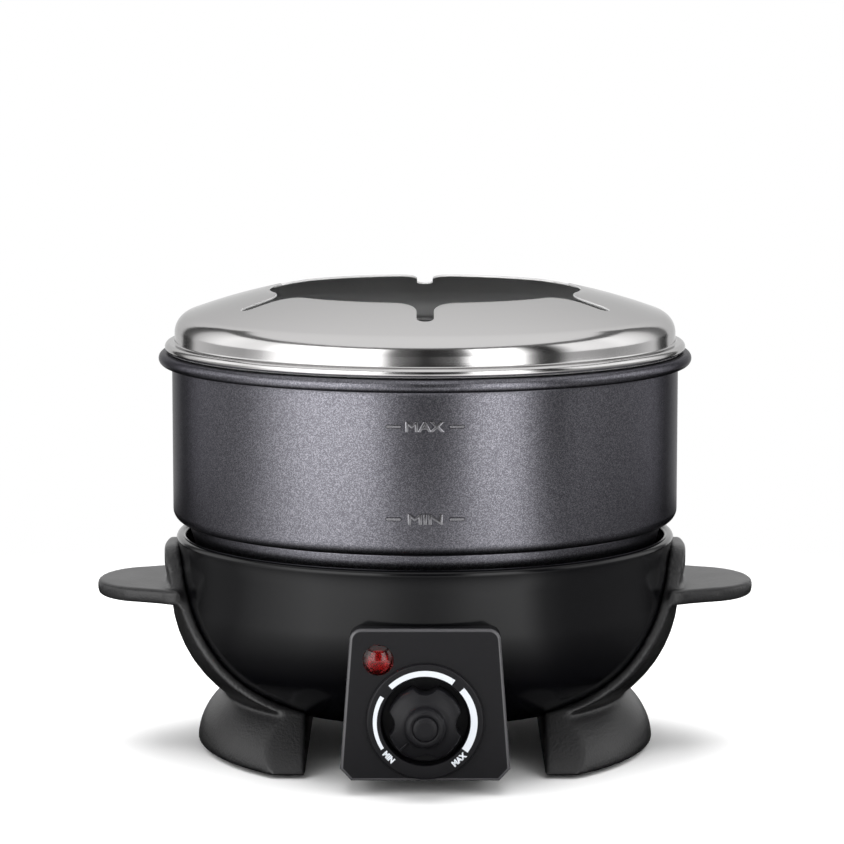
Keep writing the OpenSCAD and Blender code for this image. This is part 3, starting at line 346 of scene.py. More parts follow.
def even(points, count):
    """count + 1 points at even distances along a chain of points."""
    chain = [Vector(p) for p in points]
    reach = [0.0]
    for a, b in zip(chain, chain[1:]):
        reach.append(reach[-1] + (b - a).length)
    spaced = []
    at = 0
    for i in range(count + 1):
        goal = reach[-1] * i / count
        while at < len(chain) - 2 and reach[at + 1] < goal:
            at += 1
        part = (goal - reach[at]) / (reach[at + 1] - reach[at])
        spaced.append(chain[at].lerp(chain[at + 1], min(part, 1.0)))
    return spaced


def eased(part):
    """A part from 0 to 1, held at its ends, with a soft start and end."""
    part = min(1.0, max(0.0, part))
    return part * part * (3 - 2 * part)


def about_bowl(settings):
    """The place of the bowl's axis."""
    return Matrix.Translation((0.0, settings.axis_y, 0.0))


def about_front(settings, x, z):
    """The place of an axis that runs to the front, its heights counted from the bowl's axis."""
    return Matrix.Translation((x, settings.axis_y, z)) @ Matrix.Rotation(math.pi / 2, 4, "X")


def tidy(bm):
    """Closes seams and poles and turns every face outwards."""
    bmesh.ops.remove_doubles(bm, verts=bm.verts, dist=1e-6)
    bmesh.ops.dissolve_degenerate(bm, edges=bm.edges, dist=1e-7)
    bmesh.ops.recalc_face_normals(bm, faces=bm.faces)


def turned(section, steps, place, closed=True):
    """A section of (radius, height) points spun once round and put in place."""
    bm = bmesh.new()
    verts = [bm.verts.new((radius, 0.0, height)) for radius, height in section]
    edges = [bm.edges.new(pair) for pair in zip(verts, verts[1:])]
    if closed:
        edges.append(bm.edges.new((verts[-1], verts[0])))
    bmesh.ops.spin(bm, geom=verts + edges, cent=(0, 0, 0), axis=(0, 0, 1), angle=math.tau,
                   steps=steps, use_merge=True)
    tidy(bm)
    bmesh.ops.transform(bm, matrix=place, verts=bm.verts)
    return bm


def move_new(bm, made, way):
    """Moves the corners that an extrusion made."""
    bmesh.ops.translate(bm, vec=way, verts=[v for v in made["geom"] if isinstance(v, bmesh.types.BMVert)])


def plain_object(bm, name):
    """An object with this mesh, linked to the scene."""
    mesh = bpy.data.meshes.new(name)
    bm.to_mesh(mesh)
    bm.free()
    thing = bpy.data.objects.new(name, mesh)
    bpy.context.scene.collection.objects.link(thing)
    return thing


def bake(thing):
    """Replaces an object's mesh by what its modifiers make of it."""
    graph = bpy.context.evaluated_depsgraph_get()
    mesh = bpy.data.meshes.new_from_object(thing.evaluated_get(graph))
    old = thing.data
    thing.modifiers.clear()
    thing.data = mesh
    bpy.data.meshes.remove(old)


def rework(thing):
    """A bmesh of an object's mesh, to be given back with plain_mesh."""
    bm = bmesh.new()
    bm.from_mesh(thing.data)
    return bm


def plain_mesh(thing, bm):
    """Gives a bmesh back to its object."""
    bm.to_mesh(thing.data)
    bm.free()


def finish_piece(thing, body, materials, stands_for=(), sharp=35.0):
    """Gives a piece its finishes and smooth shading and ties it to its body."""
    for material in materials:
        thing.data.materials.append(material)
    thing.data.shade_smooth()
    thing.data.set_sharp_from_angle(angle=math.radians(sharp))
    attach(thing, body)
    if stands_for:
        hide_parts(*stands_for)


def letters(word, wide, tall, thickness, bold=0.0, soft=0.0):
    """A bmesh of a word in raised letters, centred, reading along +X in the XY plane."""
    curve = bpy.data.curves.new(word, "FONT")
    curve.body = word
    curve.size = tall / CAP_HEIGHT
    curve.extrude = thickness / 2 - soft
    curve.bevel_depth = soft
    curve.bevel_resolution = 1
    curve.offset = bold - soft
    curve.resolution_u = 4
    thing = bpy.data.objects.new(word, curve)
    bpy.context.scene.collection.objects.link(thing)
    graph = bpy.context.evaluated_depsgraph_get()
    mesh = bpy.data.meshes.new_from_object(thing.evaluated_get(graph))
    bm = bmesh.new()
    bm.from_mesh(mesh)
    bpy.data.objects.remove(thing)
    bpy.data.curves.remove(curve)
    bpy.data.meshes.remove(mesh)
    high = [v.co.y for v in bm.verts]
    across = [v.co.x for v in bm.verts]
    middle = Vector(((max(across) + min(across)) / 2, (max(high) + min(high)) / 2, 0.0))
    scale = (wide / (max(across) - min(across)), tall / (max(high) - min(high)), 1.0)
    bmesh.ops.translate(bm, vec=-middle, verts=bm.verts)
    bmesh.ops.scale(bm, vec=scale, verts=bm.verts)
    tidy(bm)
    return bm


def merge_in(bm, other):
    """Adds another bmesh's shape to this one."""
    mesh = bpy.data.meshes.new("part")
    other.to_mesh(mesh)
    other.free()
    bm.from_mesh(mesh)
    bpy.data.meshes.remove(mesh)


# Finishes

def add_node(tree, kind, inputs, **choices):
    """Adds a node; inputs are values or outputs of other nodes."""
    node = tree.nodes.new(kind)
    for name, value in choices.items():
        setattr(node, name, value)
    for name, value in inputs.items():
        if isinstance(value, bpy.types.NodeSocket):
            tree.links.new(value, node.inputs[name])
        else:
            node.inputs[name].default_value = value
    return node


class Finish:
    """One material: a principled shader and the nodes that vary it."""

    def __init__(self, name, rgb, roughness, metallic=0.0):
        self.material = bpy.data.materials.new(PREFIX + name)
        self.material.use_nodes = True
        self.tree = self.material.node_tree
        self.shader = self.tree.nodes["Principled BSDF"]
        self.set(**{"Base Color": (*rgb, 1.0), "Roughness": roughness, "Metallic": metallic})

    def set(self, **values):
        """Sets sockets of the shader; an underscore stands for a space."""
        for name, value in values.items():
            self.shader.inputs[name.replace("_", " ")].default_value = value

    def feed(self, name, output):
        """Joins an output to a socket of the shader."""
        self.tree.links.new(output, self.shader.inputs[name])

    def add(self, kind, inputs, **choices):
        """Adds a node to the material."""
        return add_node(self.tree, kind, inputs, **choices)

    def place(self, centre=(0.0, 0.0, 0.0)):
        """Object coordinates counted from a centre."""
        coordinates = self.add("ShaderNodeTexCoord", {})
        shift = self.add("ShaderNodeMapping", {
            "Vector": coordinates.outputs["Object"],
            "Location": [-c for c in centre],
        })
        return shift.outputs["Vector"]

    def ring_place(self, centre):
        """Coordinates that run as radius and height about an upright axis."""
        place = self.place(centre)
        flat = self.add("ShaderNodeVectorMath", {0: place, 1: (1.0, 1.0, 0.0)}, operation="MULTIPLY")
        radius = self.add("ShaderNodeVectorMath", {0: flat.outputs["Vector"]}, operation="LENGTH")
        parts = self.add("ShaderNodeSeparateXYZ", {"Vector": place})
        both = self.add("ShaderNodeCombineXYZ", {"X": radius.outputs["Value"], "Y": parts.outputs["Z"]})
        return both.outputs["Vector"]

    def noise(self, place, scale, detail=2.0):
        """A cloudy pattern from 0 to 1."""
        node = self.add("ShaderNodeTexNoise", {"Vector": place, "Scale": scale, "Detail": detail})
        return node.outputs["Fac"]

    def between(self, pattern, low, high, start=0.0, end=1.0):
        """A pattern brought to a range."""
        node = self.add("ShaderNodeMapRange", {
            "Value": pattern, "From Min": start, "From Max": end, "To Min": low, "To Max": high,
        })
        return node.outputs["Result"]

    def blend(self, pattern, dark, light):
        """A colour between two by a pattern."""
        node = self.add("ShaderNodeMix", {0: pattern, 6: (*dark, 1.0), 7: (*light, 1.0)}, data_type="RGBA")
        return node.outputs[2]

    def relief(self, pattern, depth):
        """Fine relief in metres from a pattern."""
        node = self.add("ShaderNodeBump", {"Height": pattern, "Strength": 1.0, "Distance": depth})
        self.feed("Normal", node.outputs["Normal"])


def polished_steel(settings):
    """Steel polished in rings, with faint cloudy wear."""
    made = Finish("polished_steel", settings.colours.steel, 0.2, 1.0)
    centre = (0.0, settings.axis_y, 0.0)
    lines = made.noise(made.ring_place(centre), 2600.0, 3.0)
    made.relief(lines, 8e-6)
    made.feed("Roughness", made.between(made.noise(made.place(centre), 45.0, 4.0), 0.11, 0.17, 0.3, 0.7))
    made.set(Specular_Tint=(0.6, 0.6, 0.6, 1.0))
    return made.material


def brushed_steel(settings):
    """Steel left satin: the lid's skirt."""
    made = Finish("brushed_steel", settings.colours.satin, 0.4, 1.0)
    centre = (0.0, settings.axis_y, 0.0)
    made.relief(made.noise(made.ring_place(centre), 3000.0, 3.0), 2e-5)
    made.feed("Roughness", made.between(made.noise(made.place(centre), 60.0, 4.0), 0.36, 0.46, 0.3, 0.7))
    return made.material


def dull_steel(settings):
    """Steel left dull from the rolling mill: the lid's inside."""
    made = Finish("dull_steel", settings.colours.dull, 0.5, 0.4)
    made.feed("Roughness", made.between(made.noise(made.place(), 60.0, 4.0), 0.45, 0.55, 0.3, 0.7))
    return made.material


def non_stick_coat(settings):
    """Charcoal coat full of fine bright flakes."""
    made = Finish("non_stick_coat", settings.colours.coat, 0.28, 1.0)
    place = made.place()
    flakes = made.add("ShaderNodeTexVoronoi", {"Vector": place, "Scale": 3800.0})
    glint = made.add("ShaderNodeSeparateColor", {"Color": flakes.outputs["Color"]})
    bright = made.between(glint.outputs["Red"], 0.0, 1.0, 0.4, 1.0)
    made.feed("Base Color", made.blend(bright, settings.colours.coat, settings.colours.flake))
    made.relief(made.noise(place, 1400.0, 1.0), 1.4e-5)
    made.set(Specular_Tint=(0.35, 0.35, 0.35, 1.0))
    return made.material


def mark_highlight_coat(settings):
    """The pot's coat on the raised level marks, painted lighter as a highlight."""
    made = Finish("mark_highlight_coat", settings.colours.mark, 0.26, 1.0)
    made.relief(made.noise(made.place(), 1400.0, 1.0), 1.4e-5)
    made.set(Specular_Tint=(0.35, 0.35, 0.35, 1.0))
    return made.material


def painted_shade_lining(settings):
    """Non-stick lining, painted much darker than the coat as shade inside the pot."""
    made = Finish("painted_shade_lining", settings.colours.lining, 0.4)
    place = made.place()
    made.relief(made.noise(place, 1400.0, 1.0), 2.5e-5)
    made.feed("Roughness", made.between(made.noise(place, 90.0, 2.0), 0.35, 0.45))
    made.set(IOR=1.4)
    return made.material


def gloss_black(settings):
    """Smooth black paint."""
    made = Finish("gloss_black", settings.colours.gloss, 0.16)
    made.relief(made.noise(made.place(), 260.0, 2.0), 8e-6)
    made.set(IOR=1.36)
    return made.material


def dull_black(settings):
    """Dull black paint inside the bowl."""
    made = Finish("dull_black", settings.colours.gloss, 0.35)
    made.relief(made.noise(made.place(), 260.0, 2.0), 8e-6)
    made.set(IOR=1.2)
    return made.material


def turned_aluminium(settings):
    """Aluminium turned on a lathe."""
    made = Finish("turned_aluminium", settings.colours.turned, 0.34, 1.0)
    centre = (0.0, settings.axis_y, 0.0)
    lines = made.noise(made.ring_place(centre), 2400.0, 2.0)
    made.relief(lines, 3e-5)
    made.set(Anisotropic=0.85)
    tangent = made.add("ShaderNodeTangent", {}, direction_type="RADIAL", axis="Z")
    made.feed("Tangent", tangent.outputs["Tangent"])
    return made.material


def cast_aluminium(settings):
    """Aluminium as cast and blasted: a frosty mottle over a fine grain, with a painted highlight along the
    ring's crest.
    """
    made = Finish("cast_aluminium", settings.colours.cast, 0.75, 0.1)
    centre = (0.0, settings.axis_y, 0.0)
    bowl = settings.bowl
    place = made.place(centre)
    grain = made.noise(place, 1500.0, 3.0)
    mottle = made.noise(place, 420.0, 4.0)
    made.relief(grain, 1.2e-4)
    parts = made.add("ShaderNodeSeparateXYZ", {"Vector": made.ring_place(centre)})
    # A painted highlight: the ring is made lighter near its crest
    rise = made.between(parts.outputs["X"], 0.0, 0.26, bowl.crest_r - bowl.crest_highlight_w, bowl.crest_r)
    fall = made.between(parts.outputs["X"], 1.0, 0.0, bowl.crest_r, bowl.crest_r + bowl.crest_highlight_w)
    crest = made.add("ShaderNodeMath", {0: rise, 1: fall}, operation="MULTIPLY")
    cloud = made.add("ShaderNodeMath", {0: grain, 1: mottle}, operation="ADD")
    tone = made.add("ShaderNodeMath", {0: cloud.outputs["Value"], 1: crest.outputs["Value"]},
                    operation="ADD")
    bright = made.between(tone.outputs["Value"], 0.0, 1.0, 0.7, 1.3)
    deep = tuple(0.72 * c for c in settings.colours.cast)
    made.feed("Base Color", made.blend(bright, deep, settings.colours.crest))
    return made.material


def black_plastic(settings):
    """Black plastic with a fine moulded grain."""
    made = Finish("black_plastic", settings.colours.plastic, 0.45)
    place = made.place()
    made.relief(made.noise(place, 1500.0, 2.0), 4e-5)
    made.feed("Roughness", made.between(made.noise(place, 60.0, 2.0), 0.40, 0.50))
    made.set(IOR=1.34)
    return made.material


def grained_plastic(settings):
    """Black plastic with a coarser grain, for the side frames."""
    made = Finish("grained_plastic", settings.colours.frame, 0.4)
    place = made.place()
    made.relief(made.noise(place, 1000.0, 2.0), 1.6e-4)
    made.feed("Roughness", made.between(made.noise(place, 60.0, 2.0), 0.34, 0.44))
    made.set(IOR=1.5)
    return made.material


def edge_highlight_plastic(settings):
    """Black plastic of the panel's rounded edge: smoother, and painted lighter as a highlight."""
    made = Finish("edge_highlight_plastic", settings.colours.edge, 0.28)
    made.feed("Roughness", made.between(made.noise(made.place(), 60.0, 2.0), 0.24, 0.32))
    made.set(IOR=1.6)
    return made.material


def ink(settings):
    """White print."""
    made = Finish("ink", settings.colours.ink, 0.55)
    made.feed("Roughness", made.between(made.noise(made.place(), 900.0, 2.0), 0.48, 0.62))
    return made.material


def red_lens(settings):
    """Clear red plastic with a smooth face."""
    made = Finish("red_lens", settings.colours.lens, 0.05)
    made.set(Transmission_Weight=1.0, IOR=1.49)
    made.feed("Roughness", made.between(made.noise(made.place(), 700.0, 2.0), 0.03, 0.08))
    return made.material


def red_prisms(settings):
    """Red plastic of the prisms behind the lens."""
    made = Finish("red_prisms", settings.colours.red, 0.25)
    made.feed("Roughness", made.between(made.noise(made.place(), 900.0, 2.0), 0.18, 0.32))
    return made.material


def lens_shade(settings):
    """Dark rim of the prisms behind the lens."""
    made = Finish("lens_shade", tuple(0.08 * c for c in settings.colours.red), 0.4)
    made.feed("Roughness", made.between(made.noise(made.place(), 900.0, 2.0), 0.35, 0.45))
    return made.material


def rubber(settings):
    """Matt black rubber."""
    made = Finish("rubber", settings.colours.rubber, 0.75)
    made.relief(made.noise(made.place(), 900.0, 2.0), 8e-5)
    return made.material


# Finishes of inner pieces: colour, roughness, metal, then the scale of the cloudy pattern, how far it
# moves the roughness, and the depth of its relief in metres
SIMPLE = {
    "element_sheath": ((0.22, 0.21, 0.2), 0.5, 1.0, 500.0, 0.1, 5e-5),
    "ceramic": ((0.82, 0.79, 0.7), 0.2, 0.0, 300.0, 0.05, 1e-5),
    "bright_sheet": ((0.78, 0.78, 0.78), 0.25, 1.0, 120.0, 0.06, 2e-5),
    "zinc_steel": ((0.62, 0.62, 0.64), 0.35, 1.0, 700.0, 0.08, 2e-5),
    "copper": ((0.72, 0.4, 0.25), 0.32, 1.0, 600.0, 0.08, 2e-5),
    "white_plastic": ((0.8, 0.8, 0.77), 0.5, 0.0, 900.0, 0.05, 4e-5),
    "brown_plastic": ((0.17, 0.07, 0.035), 0.5, 0.0, 900.0, 0.05, 5e-5),
    "lead_sleeve": ((0.42, 0.03, 0.025), 0.55, 0.0, 1200.0, 0.05, 4e-5),
    "lamp_glass": ((0.95, 0.78, 0.6), 0.06, 0.0, 200.0, 0.02, 1e-6),
}


def simple_finish(name):
    """A finish for an inner piece: a cloudy roughness and a fine relief."""
    rgb, roughness, metallic, scale, spread, depth = SIMPLE[name]
    made = Finish(name, rgb, roughness, metallic)
    pattern = made.noise(made.place(), scale, 3.0)
    made.feed("Roughness", made.between(pattern, roughness - spread, roughness + spread, 0.3, 0.7))
    made.relief(pattern, depth)
    if name == "lamp_glass":
        made.set(Transmission_Weight=0.85, IOR=1.5)
    return made.material


MAKERS = {maker.__name__: maker for maker in (
    polished_steel, brushed_steel, dull_steel, non_stick_coat, mark_highlight_coat, painted_shade_lining, gloss_black,
    dull_black, turned_aluminium, cast_aluminium, black_plastic, grained_plastic, edge_highlight_plastic, ink,
    red_lens, red_prisms, lens_shade, rubber,
)}


def finish(name):
    """The finish of that name, made on its first use."""
    material = bpy.data.materials.get(PREFIX + name)
    if material:
        return material
    if name in SIMPLE:
        return simple_finish(name)
    return MAKERS[name](bpy.context.scene.fondue)


# Pieces

class FONDUE_OT_lid(bpy.types.Operator):
    """Make the lid: one sheet with a skirt, a folded bead, a dome and six fork notches"""

    bl_idname = "fondue.lid"
    bl_label = "Lid"
    bl_options = {"REGISTER", "UNDO"}
    # Points along the opening's edge from a notch's tip to halfway to the next notch
    half_count = 42
    # How far the rings of points between the opening's edge and the collar are towards the collar
    rings = (0.1, 0.25, 0.45, 0.65, 0.85)

    def opening_half(self, lid):
        """The opening's edge from a notch's tip to halfway to the next notch, with x along the notch."""
        half = lid.notch_w / 2
        flare_y = half + lid.flare_r
        flare_x = math.sqrt((lid.opening_r + lid.flare_r) ** 2 - flare_y ** 2)
        lean = math.degrees(math.atan2(flare_y, flare_x))
        points = arc((lid.notch_tip_r - half, 0.0), half, 0, 90, 16)
        points += arc((flare_x, flare_y), lid.flare_r, 270, 180 + lean, 32)
        points += arc((0.0, 0.0), lid.opening_r, lean, 180 / lid.notches, 32)
        return even(points, self.half_count)

    def edge_points(self, lid):
        """The whole opening's edge as (x, y, angle on the collar)."""
        half = self.opening_half(lid)
        found = []
        for notch in range(lid.notches):
            turn = math.tau * notch / lid.notches - math.pi / 2
            for i in range(-self.half_count, self.half_count):
                point = half[abs(i)].copy()
                point.y = math.copysign(point.y, i)
                spin = Matrix.Rotation(turn, 2)
                flat = spin @ point
                found.append((flat.x, flat.y, turn + math.pi / lid.notches * i / self.half_count))
        return found

    def profile(self, lid):
        """The outside from the collar to the end of the skirt, as radius and height over the bead."""
        turn = math.degrees(lid.shoulder_turn)
        centre = Vector((lid.wall_r - lid.shoulder_r, lid.wall_rise))
        half = lid.bead_d / 2
        fold = lid.fold_r
        points = [(r, self.dome(lid, r)) for r in (lid.collar_r, 0.6 * lid.collar_r + 0.4 * centre.x)]
        points += arc(centre, lid.shoulder_r, turn, 0, 20)
        points += arc((lid.wall_r + fold, half + fold), fold, 180, 270, 5)
        points += arc((lid.bead_r, 0.0), half, 90, -90, 16)
        points += arc((lid.skirt_r + fold, -half - fold), fold, 90, 180, 5)
        points.append((lid.skirt_r, -lid.skirt_drop))
        return points

    def dome(self, lid, radius):
        """Height of the dome over the bead at a radius."""
        turn = lid.shoulder_turn
        centre_r = lid.wall_r - lid.shoulder_r + (lid.shoulder_r - lid.dome_r) * math.cos(turn)
        centre_z = lid.wall_rise + (lid.shoulder_r - lid.dome_r) * math.sin(turn)
        return centre_z + math.sqrt(lid.dome_r ** 2 - (radius - centre_r) ** 2)

    def execute(self, context):
        settings = context.scene.fondue
        lid = settings.lid
        edge = self.edge_points(lid)
        bm = bmesh.new()
        count = bm.verts.layers.int.new("count")
        ring = []
        for i, (x, y, turn) in enumerate(edge):
            vert = bm.verts.new((x, y, self.dome(lid, math.hypot(x, y))))
            vert[count] = i
            ring.append(vert)
        loop = [bm.edges.new(pair) for pair in zip(ring, ring[1:] + ring[:1])]
        places = []
        for part in self.rings:
            places.append(lambda x, y, turn, part=part: self.between_rings(lid, x, y, turn, part))
        for radius, height in self.profile(lid):
            places.append(
                lambda x, y, turn, r=radius, h=height: (r * math.cos(turn), r * math.sin(turn), h))
        for place in places:
            made = bmesh.ops.extrude_edge_only(bm, edges=loop)["geom"]
            new = [v for v in made if isinstance(v, bmesh.types.BMVert)]
            loop = [e for e in made if isinstance(e, bmesh.types.BMEdge) and e.is_boundary]
            for vert in new:
                vert.co = place(*edge[vert[count]])
        tidy(bm)
        bm.faces.ensure_lookup_table()
        face = bm.faces[len(bm.faces) // 2]
        if face.normal.dot(face.calc_center_median()) < 0:
            bmesh.ops.reverse_faces(bm, faces=bm.faces)
        bmesh.ops.translate(bm, vec=(0.0, settings.axis_y, lid.bead_z), verts=bm.verts)
        thing = plain_object(bm, "lid")
        sheet = thing.modifiers.new("sheet", "SOLIDIFY")
        sheet.thickness = lid.sheet
        sheet.offset = -1.0
        sheet.use_even_offset = True
        rounding = thing.modifiers.new("edges", "BEVEL")
        rounding.width = lid.edge
        rounding.segments = 2
        rounding.limit_method = "ANGLE"
        rounding.angle_limit = math.radians(60)
        bake(thing)
        bm = rework(thing)
        deep = Vector((0.0, settings.axis_y, lid.bead_z - lid.bead_r))
        for face in bm.faces:
            middle = face.calc_center_median()
            inside = face.normal.dot(middle - deep) < 0
            skirt = middle.z < lid.bead_z - lid.bead_d / 2
            face.material_index = 2 if inside else 1 if skirt else 0
        plain_mesh(thing, bm)
        finishes = [finish("polished_steel"), finish("brushed_steel"), finish("dull_steel")]
        finish_piece(thing, "lid", finishes, ["lid_shell"], 60.0)
        return {"FINISHED"}

    def between_rings(self, lid, x, y, turn, part):
        """A point part of the way from the opening's edge to the collar, on the dome."""
        goal = Vector((lid.collar_r * math.cos(turn), lid.collar_r * math.sin(turn)))
        flat = Vector((x, y)).lerp(goal, part)
        return flat.x, flat.y, self.dome(lid, flat.length)


class FONDUE_OT_pot(bpy.types.Operator):
    """Make the pot with its stepped foot, its rolled rim and the level marks on its front"""

    bl_idname = "fondue.pot"
    bl_label = "Pot"
    bl_options = {"REGISTER", "UNDO"}

    def execute(self, context):
        settings = context.scene.fondue
        pot = settings.pot
        base = pot.bottom_z
        lean = math.degrees(pot.draft)
        step_z = base + pot.step_h
        rise = (pot.step_h - pot.corner_r + pot.corner_r * math.sin(pot.draft)) * math.tan(pot.draft)
        corner = (pot.step_r - rise - pot.corner_r * math.cos(pot.draft), base + pot.corner_r)
        shoulder = (pot.wall_r - pot.shoulder_r, step_z + pot.shoulder_r)
        bead = pot.bead_d / 2
        inner_r = pot.wall_r - pot.sheet
        section = [(0.0, base), (0.5 * corner[0], base)]
        section += arc(corner, pot.corner_r, -90, -lean, 10)
        section += arc((pot.step_r - pot.step_edge, step_z - pot.step_edge), pot.step_edge, -lean, 90, 4)
        section += arc(shoulder, pot.shoulder_r, -90, 0, 10)
        neck = pot.bead_z - pot.bead_d
        section += bend((pot.wall_r, neck), (pot.wall_r, pot.bead_z - bead),
                        (pot.bead_r - bead, pot.bead_z - bead), 5)
        section += arc((pot.bead_r, pot.bead_z), bead, -100, 90, 18)
        section += arc((inner_r + bead, pot.bead_z), bead, 90, 180, 8)
        section += arc(shoulder, pot.shoulder_r - pot.sheet, 0, -90, 10)
        section += [(pot.step_r - pot.sheet, step_z + pot.sheet)]
        section += arc(corner, pot.corner_r - pot.sheet, -lean, -90, 10)
        section += [(0.0, base + pot.sheet)]
        bm = turned(section, settings.steps, about_bowl(settings), closed=False)
        # Faces inside the pot and on its inner floor get the lining's painted shade
        axis = Vector((0.0, settings.axis_y))
        for face in bm.faces:
            middle = face.calc_center_median()
            reach = (middle.xy - axis).length
            inward = face.normal.xy.dot(middle.xy - axis) < 0 and reach < pot.wall_r
            floor = reach < pot.step_r and face.normal.z > 0.5
            face.material_index = 1 if inward or floor else 0
        thing = plain_object(bm, "pot")
        finish_piece(thing, "pot", [finish("non_stick_coat"), finish("painted_shade_lining")],
                     ["pot_shell"], 50.0)
        marks = bmesh.new()
        for word, wide, drop in (("MAX", pot.max_w, pot.max_drop), ("MIN", pot.min_w, pot.min_drop)):
            flat = letters(word, wide, pot.mark_h, 2 * pot.mark_proud, pot.mark_bold, pot.mark_edge)
            for side in (-1, 1):
                merge_in(flat, self.dash(pot, side))
            self.bend(flat, settings, pot.bead_z - drop)
            merge_in(marks, flat)
        tidy(marks)
        thing = plain_object(marks, "pot_level_marks")
        finish_piece(thing, "pot", [finish("mark_highlight_coat")])
        return {"FINISHED"}

    def dash(self, pot, side):
        """A raised dash with round ends and soft edges beside a word."""
        half = pot.dash_h / 2
        reach = pot.dash_len / 2 - half
        outline = arc((reach, 0.0), half, -90, 90, 8) + arc((-reach, 0.0), half, 90, 270, 8)
        bm = bmesh.new()
        face = bm.faces.new([bm.verts.new((x, y, 0.0)) for x, y in outline])
        move_new(bm, bmesh.ops.extrude_face_region(bm, geom=[face]), (0.0, 0.0, -pot.mark_proud))
        bmesh.ops.recalc_face_normals(bm, faces=bm.faces)
        top = [f for f in bm.faces if f.normal.z > 0.5]
        bmesh.ops.inset_region(bm, faces=top, thickness=pot.mark_edge, depth=pot.mark_proud)
        bmesh.ops.translate(bm, vec=(side * (pot.dash_in + pot.dash_len / 2), 0.0, 0.0), verts=bm.verts)
        tidy(bm)
        return bm

    def bend(self, bm, settings, height):
        """Lays a flat shape round the front of the pot's wall."""
        for vert in bm.verts:
            turn = vert.co.x / settings.pot.wall_r - math.pi / 2
            radius = settings.pot.wall_r + vert.co.z
            z = height + vert.co.y
            vert.co = (radius * math.cos(turn), settings.axis_y + radius * math.sin(turn), z)


class FONDUE_OT_bowl(bpy.types.Operator):
    """Make the base bowl and the heating plate in it"""

    bl_idname = "fondue.bowl"
    bl_label = "Bowl and heating plate"
    bl_options = {"REGISTER", "UNDO"}

    def execute(self, context):
        settings = context.scene.fondue
        bowl = settings.bowl
        knuckle = (bowl.knuckle_c, bowl.knuckle_z)
        floor_z = bowl.knuckle_z - bowl.knuckle_r
        rim = (bowl.rim_r, bowl.rim_z)
        section = [(bowl.floor_hole_r, floor_z)]
        section += arc(knuckle, bowl.knuckle_r, -90, 0, 40)
        section += bend((bowl.side_r, bowl.rim_z - bowl.rim_neck),
                        (bowl.side_r, bowl.rim_z - bowl.rim_turn),
                        (bowl.rim_r + bowl.rim_d / 2, bowl.rim_z), 10)
        section += arc(rim, bowl.rim_d / 2, 0, 230, 24)[1:]
        section += [(bowl.side_r - bowl.wall, bowl.rim_z - bowl.rim_d)]
        section += arc(knuckle, bowl.knuckle_r - bowl.wall, 0, -90, 40)
        section += [(bowl.floor_hole_r, floor_z + bowl.wall)]
        bm = turned(section, settings.steps, about_bowl(settings))
        for face in bm.faces:
            middle = face.calc_center_median()
            inward = face.normal.x * middle.x + face.normal.y * (middle.y - settings.axis_y) < 0
            face.material_index = 1 if inward and middle.z < bowl.rim_z else 0
        thing = plain_object(bm, "bowl")
        finish_piece(thing, "base", [finish("gloss_black"), finish("dull_black")],
                     ["base_bowl"], 50.0)
        self.plate(settings)
        return {"FINISHED"}

    def plate(self, settings):
        """The heating plate: a turned disc in a cast ring with a raised lip."""
        bowl = settings.bowl
        top = bowl.plate_top
        crest_z = top - bowl.crest_drop
        ring_z = top - bowl.ring_drop
        edge = bowl.plate_edge
        section = [(0.0, top), (0.5 * bowl.disc_r, top), (bowl.disc_r - edge, top)]
        section += [(bowl.disc_r, top - edge)]
        valley = bowl.disc_r + bowl.groove_w / 2
        foot = bowl.plate_r - bowl.lip_w
        section += [(valley, top - bowl.groove_d), (bowl.disc_r + bowl.groove_w, top - bowl.groove_d)]
        section += bend(section[-1], (0.6 * valley + 0.4 * bowl.crest_r, crest_z),
                        (bowl.crest_r, crest_z), 8)
        section += bend((bowl.crest_r, crest_z), ((bowl.crest_r + foot) / 2, crest_z), (foot, ring_z), 8)
        section += bend((foot, ring_z), (foot + 0.4 * bowl.lip_w, ring_z),
                        (bowl.plate_r - bowl.lip_flat, top + bowl.lip_rise), 8)
        section += [(bowl.plate_r - edge, top + bowl.lip_rise)]
        low = top - bowl.plate_t
        section += [(bowl.plate_r, top + bowl.lip_rise - edge), (bowl.plate_r, low + edge)]
        section += [(bowl.plate_r - edge, low), (0.0, low)]
        bm = turned(section, settings.steps, about_bowl(settings), closed=False)
        for face in bm.faces:
            middle = face.calc_center_median()
            radius = math.hypot(middle.x, middle.y - settings.axis_y)
            face.material_index = 0 if radius < bowl.disc_r else 1
        thing = plain_object(bm, "heating_plate_face")
        finishes = [finish("turned_aluminium"), finish("cast_aluminium")]
        finish_piece(thing, "base", finishes, ["heating_plate"], 25.0)


